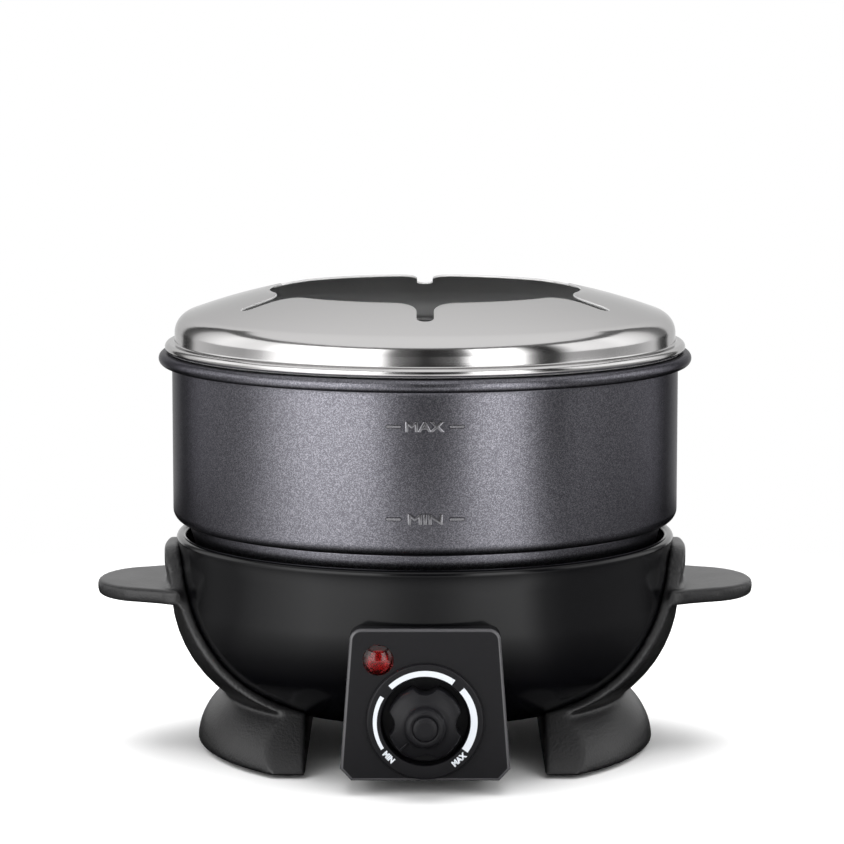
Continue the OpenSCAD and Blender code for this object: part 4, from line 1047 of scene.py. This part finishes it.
class FONDUE_OT_frames(bpy.types.Operator):
    """Make the two side frames: the moulding with softened edges"""

    bl_idname = "fondue.frames"
    bl_label = "Side frames"
    bl_options = {"REGISTER", "UNDO"}

    def execute(self, context):
        settings = context.scene.fondue
        for node in ("left_side_frame", "right_side_frame"):
            bm = bmesh.new()
            bm.from_mesh(frame["nodes"][node].data)
            bmesh.ops.transform(bm, matrix=frame["nodes"][node].matrix_world, verts=bm.verts)
            bmesh.ops.remove_doubles(bm, verts=bm.verts, dist=1e-5)
            bmesh.ops.recalc_face_normals(bm, faces=bm.faces)
            thing = plain_object(bm, node + "_moulding")
            self.remesh(thing, settings.frames.grain)
            bm = rework(thing)
            self.spread(bm, settings)
            plain_mesh(thing, bm)
            self.remesh(thing, settings.frames.grain)
            bm = rework(thing)
            for _ in range(settings.frames.rounds):
                bmesh.ops.smooth_vert(
                    bm, verts=bm.verts, factor=0.5, use_axis_x=True, use_axis_y=True, use_axis_z=True)
            self.soften_handle(bm, settings)
            plain_mesh(thing, bm)
            finish_piece(thing, "base", [finish("grained_plastic")], [node], 180.0)
        return {"FINISHED"}

    def remesh(self, thing, grain):
        """Gives the moulding an even, closed mesh."""
        work = thing.modifiers.new("work", "REMESH")
        work.mode = "VOXEL"
        work.voxel_size = grain
        bake(thing)

    def soften_handle(self, bm, settings):
        """Evens out the handle's rounded outline without thinning the handle."""
        frames = settings.frames
        handle = []
        for vert in bm.verts:
            reach = math.hypot(vert.co.x, vert.co.y - settings.axis_y)
            beside = reach > frames.strap_out + frames.root_blend
            if beside and frames.handle_low < vert.co.z < frames.handle_high:
                handle.append(vert)
        for _ in range(frames.handle_rounds):
            bmesh.ops.smooth_vert(bm, verts=handle, factor=0.5, use_axis_x=True, use_axis_y=True)

    def spread(self, bm, settings):
        """Spreads the strap round the bowl, and the handle and the foot from front to back."""
        frames = settings.frames
        for vert in bm.verts:
            x, depth, z = vert.co.x, vert.co.y - settings.axis_y, vert.co.z
            if z < frames.leg_z:
                vert.co.y += depth * frames.foot_spread * (1 - eased(z / frames.leg_z))
                continue
            size = math.hypot(x, depth)
            along = math.copysign(self.along_strap(frames, abs(depth), z), depth)
            across = math.copysign(math.sqrt(size ** 2 - along ** 2), x)
            handle = 0.0
            if frames.handle_low < z < frames.handle_high:
                handle = eased((size - frames.strap_out) / frames.root_blend)
            vert.co.x = across + (x - across) * handle
            vert.co.y = settings.axis_y + along + (depth * (1 + frames.handle_spread) - along) * handle

    def along_strap(self, frames, depth, z):
        """How far from the frame's middle a point of the strap, or of the handle beside it, is set."""
        reach = 1 + frames.strap_spread * eased((z - frames.leg_z) / (frames.neck_z - frames.leg_z))
        if not frames.handle_low < z < frames.handle_high:
            return depth * reach
        part = (z - frames.handle_low) / (frames.handle_high - frames.handle_low)
        edge = frames.strap_edge + (frames.strap_edge_top - frames.strap_edge) * part
        if depth < edge:
            return depth * reach
        root = frames.handle_root
        widened = root * (1 + frames.handle_spread) - edge * reach
        return edge * reach + (depth - edge) * widened / (root - edge)


class FONDUE_OT_controls(bpy.types.Operator):
    """Make the control box, the dial with its print, the knob and the lens"""

    bl_idname = "fondue.controls"
    bl_label = "Controls"
    bl_options = {"REGISTER", "UNDO"}
    # Printed arcs: bearings of the start and the end in degrees, widths there in mm
    arcs = ((212.5, 149.0, 1.3, 1.65), (134.5, 55.0, 2.0, 2.25), (42.0, -36.0, 2.4, 2.65))

    def outline(self, controls, inset):
        """The box's front outline in X and Z, drawn in by inset."""
        def half(z):
            part = (z - controls.bottom_z) / controls.box_h
            return (controls.bottom_w + (controls.top_w - controls.bottom_w) * part) / 2
        low = controls.bottom_z + inset
        cut_z = low + controls.cut
        top = controls.bottom_z + controls.box_h - inset
        corner_z = top - controls.corner_r
        right = [(half(low) - inset - controls.cut, low), (half(cut_z) - inset, cut_z)]
        right += arc((half(corner_z) - inset - controls.corner_r, corner_z), controls.corner_r, 0, 90, 8)
        return right + [(-x, z) for x, z in reversed(right)]

    def block(self, settings, inset, front, back):
        """A block with the box's outline between two depths."""
        bm = bmesh.new()
        outline = self.outline(settings.controls, inset)
        face = bm.faces.new([bm.verts.new((x, settings.axis_y - front, z)) for x, z in outline])
        move_new(bm, bmesh.ops.extrude_face_region(bm, geom=[face]), (0.0, front - back, 0.0))
        bmesh.ops.recalc_face_normals(bm, faces=bm.faces)
        return bm

    def cut(self, thing, tool):
        """Takes a tool's shape out of a thing."""
        step = thing.modifiers.new("cut", "BOOLEAN")
        step.operation = "DIFFERENCE"
        step.solver = "EXACT"
        step.object = tool
        bake(thing)
        mesh = tool.data
        bpy.data.objects.remove(tool)
        bpy.data.meshes.remove(mesh)

    def box(self, settings):
        """The hollow control box, cut to the bowl, with holes for the dial and the lens."""
        controls = settings.controls
        bowl = settings.bowl
        bm = self.block(settings, 0.0, controls.panel, controls.back)
        front = [e for e in bm.edges
                 if all(abs(v.co.y - settings.axis_y + controls.panel) < 1e-6 for v in e.verts)]
        bmesh.ops.bevel(bm, geom=front, offset=controls.bevel, segments=4, profile=0.5, affect="EDGES",
                        material=-1)
        thing = plain_object(bm, "control_box")
        inside = self.block(settings, controls.wall, controls.panel - controls.panel_t,
                            controls.back + controls.wall)
        self.cut(thing, plain_object(inside, "inside"))
        knuckle = (bowl.knuckle_c, bowl.knuckle_z)
        around = [(0.0, bowl.knuckle_z - bowl.knuckle_r - controls.hug)]
        around += arc(knuckle, bowl.knuckle_r + controls.hug, -90, 0, 40)
        around += [(bowl.side_r + controls.hug, bowl.rim_z), (0.0, bowl.rim_z)]
        hollow = turned(around, settings.steps, about_bowl(settings), closed=False)
        self.cut(thing, plain_object(hollow, "hollow"))
        near = controls.panel - 2 * controls.panel_t
        far = controls.panel + controls.panel_t
        dial_hole = (0.0, controls.dial_z, controls.tube_r + controls.hug)
        lens_hole = (-controls.lens_x, controls.lens_z, controls.stem_r + controls.hug)
        for x, z, radius in (dial_hole, lens_hole):
            reach = [(0.0, near), (radius, near), (radius, far), (0.0, far)]
            drill = turned(reach, 96, about_front(settings, x, z), closed=False)
            self.cut(thing, plain_object(drill, "drill"))
        bm = rework(thing)
        bmesh.ops.remove_doubles(bm, verts=bm.verts, dist=1e-6)
        # The panel's rounded edge gets the lighter finish as a painted highlight
        for face in bm.faces:
            depth = face.calc_center_median().y - settings.axis_y + controls.panel
            face.material_index = 1 if 1e-5 < depth < controls.bevel else 0
        plain_mesh(thing, bm)
        finish_piece(thing, "base", [finish("black_plastic"), finish("edge_highlight_plastic")],
                     ["control_housing"], 30.0)
        even_shade = thing.modifiers.new("shade", "WEIGHTED_NORMAL")
        even_shade.keep_sharp = True

    def dial(self, settings):
        """The dial ring with the well and the tube that the knob turns in."""
        controls = settings.controls
        face = controls.dial_face
        edge = controls.dial_edge
        section = [(controls.hole_r, controls.tube_back), (controls.tube_r, controls.tube_back)]
        section += [(controls.tube_r, controls.panel), (controls.dial_r, controls.panel)]
        section += arc((controls.dial_r - edge, face - edge), edge, 0, 90, 6)
        section += arc((controls.well_r + edge, face - edge), edge, 90, 180, 6)
        section += arc((controls.well_r - edge, controls.well_floor + edge), edge, 0, -90, 5)
        section += [(controls.hole_r, controls.well_floor)]
        place = about_front(settings, 0.0, controls.dial_z)
        thing = plain_object(turned(section, 128, place), "dial")
        finish_piece(thing, "base", [finish("black_plastic")], ["dial_ring"], 40.0)
        self.scale(settings, place)

    def scale(self, settings, place):
        """The printed scale: three arcs and the words at its ends."""
        controls = settings.controls
        bm = bmesh.new()
        for start, end, thin, thick in self.arcs:
            strip = bmesh.new()
            verts = [strip.verts.new((controls.print_r - thick * MM, 0.0, 0.0)),
                     strip.verts.new((controls.print_r, 0.0, 0.0))]
            bar = strip.edges.new(verts)
            bmesh.ops.spin(strip, geom=verts + [bar], cent=(0, 0, 0), axis=(0, 0, 1),
                           angle=math.radians(end - start), steps=40)
            for vert in strip.verts:
                radius = vert.co.xy.length
                if radius < controls.print_r - thin * MM / 2:
                    part = abs(math.degrees(math.atan2(vert.co.y, vert.co.x)) / (end - start))
                    width = (thin + (thick - thin) * part) * MM
                    vert.co.xy *= (controls.print_r - width) / radius
            bmesh.ops.rotate(strip, cent=(0, 0, 0), matrix=Matrix.Rotation(math.radians(start), 3, "Z"),
                             verts=strip.verts)
            skin = bmesh.ops.extrude_face_region(strip, geom=strip.faces)
            move_new(strip, skin, (0.0, 0.0, 2 * controls.ink))
            bmesh.ops.translate(strip, vec=(0.0, 0.0, controls.dial_face - controls.ink), verts=strip.verts)
            tidy(strip)
            merge_in(bm, strip)
        low = ("MIN", controls.min_w, controls.min_turn)
        high = ("MAX", controls.max_w, controls.max_turn)
        for word, wide, turn in (low, high):
            flat = letters(word, wide, controls.letter_h, 2 * controls.ink, controls.bold)
            bmesh.ops.transform(flat, verts=flat.verts, matrix=(
                Matrix.Rotation(turn + math.pi / 2, 4, "Z")
                @ Matrix.Translation((0.0, -controls.letter_r, controls.dial_face))))
            merge_in(bm, flat)
        bmesh.ops.transform(bm, matrix=place, verts=bm.verts)
        tidy(bm)
        thing = plain_object(bm, "dial_print")
        finish_piece(thing, "base", [finish("ink")])

    def knob(self, settings):
        """The knob: a fluted skirt, a slope with a pointer rib, a bell and a boss."""
        controls = settings.controls
        rim = controls.knob_r
        back = controls.knob_back
        skirt = back + controls.skirt_h
        front = controls.knob_front - controls.crown
        foot = (controls.bell_r + controls.bell_foot, skirt + controls.slope_h)
        waist = (controls.bell_r, (foot[1] + front) / 2)
        boss = controls.boss_r
        soft = controls.knob_edge
        section = [(0.0, back), (rim - soft, back), (rim, back + soft)]
        section += [(rim, back + controls.skirt_h * i / 4) for i in range(1, 4)]
        section += bend((rim, skirt), (rim, skirt + controls.slope_h / 2), foot, 12)
        section += bend(foot, (controls.bell_r, foot[1] + controls.slope_h / 4), waist, 12)[1:]
        section += bend(waist, (controls.bell_r, front), (boss + controls.crown, front), 8)[1:]
        section += [(boss + soft, front - soft), (boss, front), (boss, controls.knob_front - soft)]
        section += [(boss - soft, controls.knob_front), (boss / 2, controls.knob_front)]
        section += [(0.0, controls.knob_front)]
        bm = turned(section, 288, Matrix.Identity(4), closed=False)
        far = rim - controls.flute_d + controls.flute_r
        for vert in bm.verts:
            size = vert.co.xy.length
            if size < 1e-6:
                continue
            turn = math.atan2(vert.co.y, vert.co.x)
            off = (turn + math.pi / 4) % (math.pi / 2) - math.pi / 4
            under = controls.flute_r ** 2 - (far * math.sin(off)) ** 2
            if under > 0:
                limit = far * math.cos(off) - math.sqrt(under)
                if size > limit:
                    vert.co.xy *= limit / size
        grip = [v for v in bm.verts if v.co.xy.length > controls.grip_r]
        bmesh.ops.smooth_vert(bm, verts=grip, factor=0.5, use_axis_x=True, use_axis_y=True)
        bmesh.ops.recalc_face_normals(bm, faces=bm.faces)
        pointer = bmesh.new()
        bmesh.ops.create_cube(pointer, size=1.0)
        bmesh.ops.bevel(pointer, geom=pointer.edges, offset=0.2, segments=2, profile=0.5, affect="EDGES",
                        material=-1)
        bmesh.ops.transform(pointer, verts=pointer.verts, matrix=(
            Matrix.Rotation(controls.pointer_turn, 4, "Z")
            @ Matrix.Translation((foot[0] + controls.pointer_out, 0.0, skirt + 0.8 * controls.slope_h))
            @ Matrix.Rotation(controls.pointer_lean, 4, "Y")
            @ Matrix.Diagonal((controls.pointer_l, controls.pointer_w, controls.pointer_h, 1.0))))
        merge_in(bm, pointer)
        bmesh.ops.transform(bm, matrix=about_front(settings, 0.0, controls.dial_z), verts=bm.verts)
        thing = plain_object(bm, "knob_cap")
        finish_piece(thing, "knob", [finish("black_plastic")], ["knob"], 50.0)

    def lens(self, settings):
        """The crowned lens and the field of small prisms behind it."""
        controls = settings.controls
        face = controls.panel
        crown_r = (controls.lens_r ** 2 + controls.lens_crown ** 2) / (2 * controls.lens_crown)
        top = math.degrees(math.asin(controls.lens_r / crown_r))
        section = arc((0.0, face + controls.lens_crown - crown_r), crown_r, 90, 90 - top, 20)
        back = face + controls.lens_gap
        section += [(controls.lens_r, back), (0.0, back)]
        place = about_front(settings, -controls.lens_x, controls.lens_z)
        thing = plain_object(turned(section, 64, place, closed=False), "lens")
        finish_piece(thing, "base", [finish("red_lens")], ["indicator_lens"], 40.0)
        count = round(2 * controls.stem_r / controls.prism)
        bm = bmesh.new()
        bmesh.ops.create_grid(bm, x_segments=count, y_segments=count, size=controls.stem_r)
        outside = [f for f in bm.faces if f.calc_center_median().xy.length > controls.stem_r]
        bmesh.ops.delete(bm, geom=outside, context="FACES")
        field = [f for f in bm.faces if f.calc_center_median().xy.length < controls.prism_r]
        for flat in set(bm.faces) - set(field):
            flat.material_index = 1
        bmesh.ops.poke(bm, faces=field, offset=0.5 * controls.prism)
        rim = [e for e in bm.edges if e.is_boundary]
        skirt = bmesh.ops.extrude_edge_only(bm, edges=rim)
        move_new(bm, skirt, (0.0, 0.0, controls.stem_back - face))
        bmesh.ops.holes_fill(bm, edges=[e for e in bm.edges if e.is_boundary], sides=0)
        bmesh.ops.translate(bm, vec=(0.0, 0.0, face - 0.5 * controls.prism), verts=bm.verts)
        bmesh.ops.transform(bm, matrix=place, verts=bm.verts)
        tidy(bm)
        thing = plain_object(bm, "lens_prisms")
        finish_piece(thing, "base", [finish("red_prisms"), finish("lens_shade")], (), 20.0)

    def execute(self, context):
        settings = context.scene.fondue
        self.box(settings)
        self.dial(settings)
        self.knob(settings)
        self.lens(settings)
        return {"FINISHED"}


class FONDUE_OT_inner_parts(bpy.types.Operator):
    """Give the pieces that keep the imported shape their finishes"""

    bl_idname = "fondue.inner_parts"
    bl_label = "Inner parts"
    bl_options = {"REGISTER", "UNDO"}

    def execute(self, context):
        slots = {part["node"]: part["material_slot"] for part in frame["record"]["subparts"]}
        for node, thing in frame["nodes"].items():
            thing.data.materials.clear()
            thing.data.materials.append(finish(slots[node]))
        return {"FINISHED"}


class FONDUE_OT_stage(bpy.types.Operator):
    """Set the floor, the light and the camera"""

    bl_idname = "fondue.stage"
    bl_label = "Stage"
    bl_options = {"REGISTER", "UNDO"}
    # Bearing from the front in degrees, right positive, and brightness of the upper reflector ring there
    ring = (
        (-143, 0.05), (-131, 0.20), (-126, 0.75), (-104, 1.50), (-87, 1.25), (-78, 1.30), (-70, 2.00),
        (-60, 2.70), (-46, 2.95), (-22, 2.90), (-15, 0.20), (0, 0.03), (13, 0.06), (18, 0.30), (23, 2.80),
        (42, 2.90), (46, 0.80), (51, 0.02), (60, 0.02), (64, 0.60), (69, 1.40), (90, 1.25), (100, 1.50),
        (118, 1.15), (126, 0.85), (131, 0.30), (143, 0.15),
    )

    # The same for the lower ring, which the pot's wall mirrors
    low_ring = (
        (-143, 0.02), (-131, 0.10), (-126, 0.85), (-104, 0.55), (-87, 0.48), (-78, 0.70), (-70, 1.55),
        (-52, 3.10), (-39, 3.05), (-22, 3.05), (-15, 0.30), (0, 0.04), (15, 0.20), (23, 3.10), (42, 3.00),
        (46, 0.60), (51, 0.05), (61, 0.05), (66, 0.55), (72, 0.55), (90, 0.40), (108, 0.52), (126, 0.95),
        (131, 0.10), (143, 0.02),
    )

    # The same for the floor as shiny surfaces see it, and how it dims towards the middle by radius in mm, a
    # painted shadow of the object
    ground = (
        (-180, 0.0), (-124, 0.0), (-114, 0.10), (-104, 0.25), (-87, 0.36), (-62, 1.40), (-46, 2.05),
        (-20, 1.55), (-8, 0.95), (0, 0.80), (8, 0.95), (20, 1.55), (40, 1.95), (50, 0.6), (60, 0.33),
        (90, 0.26), (104, 0.18), (114, 0.07), (124, 0.0), (180, 0.0),
    )
    under = ((0, 0.0), (100, 0.0), (130, 0.10), (170, 0.35), (270, 0.85), (350, 1.0))

    # What the lamps look at, and each lamp's name, place and size, in metres
    aim = (0.0, 0.0, 0.15)
    lamps = (
        ("left_lamp", (-0.95, -1.0, 0.62), (1.0, 1.25)),
        ("right_lamp", (0.8, -1.15, 0.62), (0.65, 1.25)),
        ("top_lamp", (0.0, 0.25, 1.5), (1.4, 1.4)),
    )

    def floor(self, stage):
        """A white table top that fades into the white surroundings."""
        bm = bmesh.new()
        bmesh.ops.create_circle(bm, cap_ends=True, segments=96, radius=stage.floor_r)
        bmesh.ops.translate(bm, vec=(0.0, 0.0, -stage.floor_gap), verts=bm.verts)
        thing = plain_object(bm, "floor")
        tree = self.bare_tree(thing)
        white = (stage.floor_white, stage.floor_white, stage.floor_white, 1.0)
        matt = add_node(tree, "ShaderNodeBsdfDiffuse", {"Color": white})
        clear = add_node(tree, "ShaderNodeBsdfTransparent", {})
        fade = add_node(tree, "ShaderNodeMapRange", {
            "Value": self.distance(tree), "From Min": stage.floor_clear, "From Max": stage.floor_end,
        }, interpolation_type="SMOOTHSTEP")
        mix = add_node(tree, "ShaderNodeMixShader", {
            "Fac": fade.outputs["Result"], 1: matt.outputs["BSDF"], 2: clear.outputs["BSDF"],
        })
        tree.links.new(mix.outputs["Shader"], tree.nodes["Material Output"].inputs["Surface"])
        return thing

    def bare_tree(self, thing):
        """The nodes of a new material for a thing, without a shader."""
        material = bpy.data.materials.new(thing.name)
        material.use_nodes = True
        tree = material.node_tree
        tree.nodes.remove(tree.nodes["Principled BSDF"])
        thing.data.materials.append(material)
        return tree

    def bearing(self, tree):
        """The bearing of a place: 0.5 in front, 0 half a turn to the left, 1 half a turn to the right."""
        place = add_node(tree, "ShaderNodeTexCoord", {})
        parts = add_node(tree, "ShaderNodeSeparateXYZ", {"Vector": place.outputs["Object"]})
        front = add_node(tree, "ShaderNodeMath", {0: parts.outputs["Y"], 1: -1.0}, operation="MULTIPLY")
        turn = add_node(tree, "ShaderNodeMath", {0: parts.outputs["X"], 1: front.outputs["Value"]},
                        operation="ARCTAN2")
        part = add_node(tree, "ShaderNodeMapRange", {
            "Value": turn.outputs["Value"], "From Min": -math.pi, "From Max": math.pi,
        })
        return part.outputs["Result"]

    def distance(self, tree):
        """The distance of a place from the middle."""
        place = add_node(tree, "ShaderNodeTexCoord", {})
        size = add_node(tree, "ShaderNodeVectorMath", {0: place.outputs["Object"]}, operation="LENGTH")
        return size.outputs["Value"]

    def ramp(self, tree, pattern, stops):
        """A grey that follows stops of place (0 to 1) and lightness."""
        node = tree.nodes.new("ShaderNodeValToRGB")
        elements = node.color_ramp.elements
        elements.remove(elements[1])
        for i, (at, tone) in enumerate(stops):
            stop = elements[0] if i == 0 else elements.new(at)
            stop.position = at
            stop.color = (tone, tone, tone, 1.0)
        tree.links.new(pattern, node.inputs["Fac"])
        return node.outputs["Color"]

    def round_about(self, tree, table):
        """A grey that follows a table of bearings, and the brightness that its white stands for."""
        peak = max(glow for _, glow in table)
        stops = [(turn / 360 + 0.5, glow / peak) for turn, glow in table]
        return self.ramp(tree, self.bearing(tree), stops), peak

    def card_ring(self, stage, name, ring, low, high):
        """A reflector round the front and the sides, its brightness set by bearing."""
        thing = self.band(stage, name, (ring[0][0], ring[-1][0]), (low, high))
        tree = thing.data.materials[0].node_tree
        tone, peak = self.round_about(tree, ring)
        light = tree.nodes["Emission"]
        light.inputs["Strength"].default_value = peak
        tree.links.new(tone, light.inputs["Color"])
        return thing

    def floor_card(self, stage):
        """What shiny surfaces see of the floor: dim to its sides, and dim below the object as a painted
        shadow.
        """
        bm = bmesh.new()
        bmesh.ops.create_circle(bm, cap_ends=True, segments=64, radius=stage.floor_r)
        thing = self.glowing(bm, "floor_card", 1.0)
        tree = thing.data.materials[0].node_tree
        sides, peak = self.round_about(tree, self.ground)
        light = tree.nodes["Emission"]
        light.inputs["Strength"].default_value = peak
        reach = add_node(tree, "ShaderNodeMapRange", {
            "Value": self.distance(tree), "From Max": stage.floor_r,
        })
        stops = [(r * MM / stage.floor_r, tone) for r, tone in self.under]
        near = self.ramp(tree, reach.outputs["Result"], stops)
        both = add_node(tree, "ShaderNodeMix", {0: 1.0, 6: sides, 7: near},
                        data_type="RGBA", blend_type="MULTIPLY")
        tree.links.new(both.outputs[2], light.inputs["Color"])
        return thing

    def band(self, stage, name, bearings, heights):
        """A part of a wide upright cylinder between two bearings and two heights."""
        start, end = (math.radians(turn) for turn in bearings)
        bm = bmesh.new()
        verts = [bm.verts.new((0.0, -stage.card_r, z)) for z in heights]
        bar = bm.edges.new(verts)
        bmesh.ops.rotate(bm, cent=(0, 0, 0), matrix=Matrix.Rotation(start, 3, "Z"), verts=verts)
        bmesh.ops.spin(bm, geom=verts + [bar], cent=(0, 0, 0), axis=(0, 0, 1), angle=end - start, steps=60)
        return self.glowing(bm, name, stage.band_glow)

    def glowing(self, bm, name, glow):
        """A card of one brightness that only shiny surfaces see."""
        thing = plain_object(bm, name)
        tree = self.bare_tree(thing)
        light = add_node(tree, "ShaderNodeEmission", {"Strength": glow})
        tree.links.new(light.outputs["Emission"], tree.nodes["Material Output"].inputs["Surface"])
        thing.visible_camera = False
        thing.visible_diffuse = False
        thing.visible_shadow = False
        return thing

    def lamp(self, name, power, place, size):
        """A soft lamp that looks at the object and isn't seen itself."""
        light = bpy.data.lights.new(name, "AREA")
        light.shape = "RECTANGLE"
        light.size, light.size_y = size
        light.energy = power
        thing = bpy.data.objects.new(name, light)
        thing.location = place
        thing.rotation_euler = (Vector(self.aim) - Vector(place)).to_track_quat("-Z", "Y").to_euler()
        thing.visible_camera = False
        thing.visible_glossy = False
        bpy.context.scene.collection.objects.link(thing)
        return thing

    def sky(self, stage):
        """White surroundings: full white to the eye and in reflections, softer as light."""
        world = bpy.data.worlds.new("surroundings")
        world.use_nodes = True
        tree = world.node_tree
        ground = tree.nodes["Background"]
        ground.inputs["Color"].default_value = (1.0, 1.0, 1.0, 1.0)
        path = tree.nodes.new("ShaderNodeLightPath")
        seen = path.outputs["Is Camera Ray"]
        for name in ("Is Glossy Ray", "Is Transmission Ray"):
            either = add_node(tree, "ShaderNodeMath", {0: seen, 1: path.outputs[name]}, operation="MAXIMUM")
            seen = either.outputs["Value"]
        strength = add_node(tree, "ShaderNodeMapRange", {"Value": seen, "To Min": stage.fill})
        tree.links.new(strength.outputs["Result"], ground.inputs["Strength"])
        # Found only by rays that reach it, so that the cards hide it in shiny surfaces
        world.cycles.sampling_method = "NONE"
        bpy.context.scene.world = world

    def camera(self, stage):
        """The camera, which looks down on the front."""
        data = bpy.data.cameras.new("camera")
        data.lens = stage.lens
        data.sensor_width = 36.0
        data.clip_end = 20.0
        thing = bpy.data.objects.new("camera", data)
        thing.location = (stage.camera_x, -stage.camera_y, stage.camera_z)
        thing.rotation_euler = (math.pi / 2 - stage.camera_pitch, 0.0, 0.0)
        bpy.context.scene.collection.objects.link(thing)
        bpy.context.scene.camera = thing

    def execute(self, context):
        settings = context.scene.fondue
        stage = settings.stage
        things = [self.floor(stage)]
        things.append(self.floor_card(stage))
        things.append(self.card_ring(stage, "upper_ring", self.ring, stage.card_split, stage.card_high))
        things.append(self.card_ring(stage, "lower_ring", self.low_ring, stage.card_low, stage.card_split))
        sides = (-stage.band_turn, stage.band_turn)
        things.append(self.band(stage, "upper_band", sides, (stage.card_high, stage.band_high)))
        powers = (stage.left_power, stage.right_power, stage.top_power)
        for power, (name, place, size) in zip(powers, self.lamps):
            things.append(self.lamp(name, power, place, size))
        self.sky(stage)
        self.camera(stage)
        bpy.context.scene.view_settings.view_transform = "Standard"
        return {"FINISHED"}


# Sidebar and registration

STEPS = (FONDUE_OT_inner_parts, FONDUE_OT_lid, FONDUE_OT_pot, FONDUE_OT_bowl, FONDUE_OT_frames,
         FONDUE_OT_controls, FONDUE_OT_stage)


class FONDUE_PT_panel(bpy.types.Panel):
    """The build's steps and settings in the sidebar"""

    bl_idname = "FONDUE_PT_panel"
    bl_label = "Electric fondue pot"
    bl_space_type = "VIEW_3D"
    bl_region_type = "UI"
    bl_category = "Fondue"

    def draw(self, context):
        for step in STEPS:
            self.layout.operator(step.bl_idname)
        settings = context.scene.fondue
        for group in (settings.lid, settings.pot, settings.bowl, settings.controls, settings.frames,
                      settings.colours, settings.stage):
            box = self.layout.box()
            for name in group.__annotations__:
                box.prop(group, name)


CLASSES = (FondueLid, FonduePot, FondueBowl, FondueControls, FondueFrames, FondueColours, FondueStage,
           FondueSettings, *STEPS, FONDUE_PT_panel)


def register():
    for cls in CLASSES:
        bpy.utils.register_class(cls)
    bpy.types.Scene.fondue = PointerProperty(type=FondueSettings)


def unregister():
    del bpy.types.Scene.fondue
    for cls in reversed(CLASSES):
        bpy.utils.unregister_class(cls)


def main():
    register()
    for step in (bpy.ops.fondue.inner_parts, bpy.ops.fondue.lid, bpy.ops.fondue.pot, bpy.ops.fondue.bowl,
                 bpy.ops.fondue.frames, bpy.ops.fondue.controls, bpy.ops.fondue.stage):
        step()


if __name__ == "__main__":
    main()
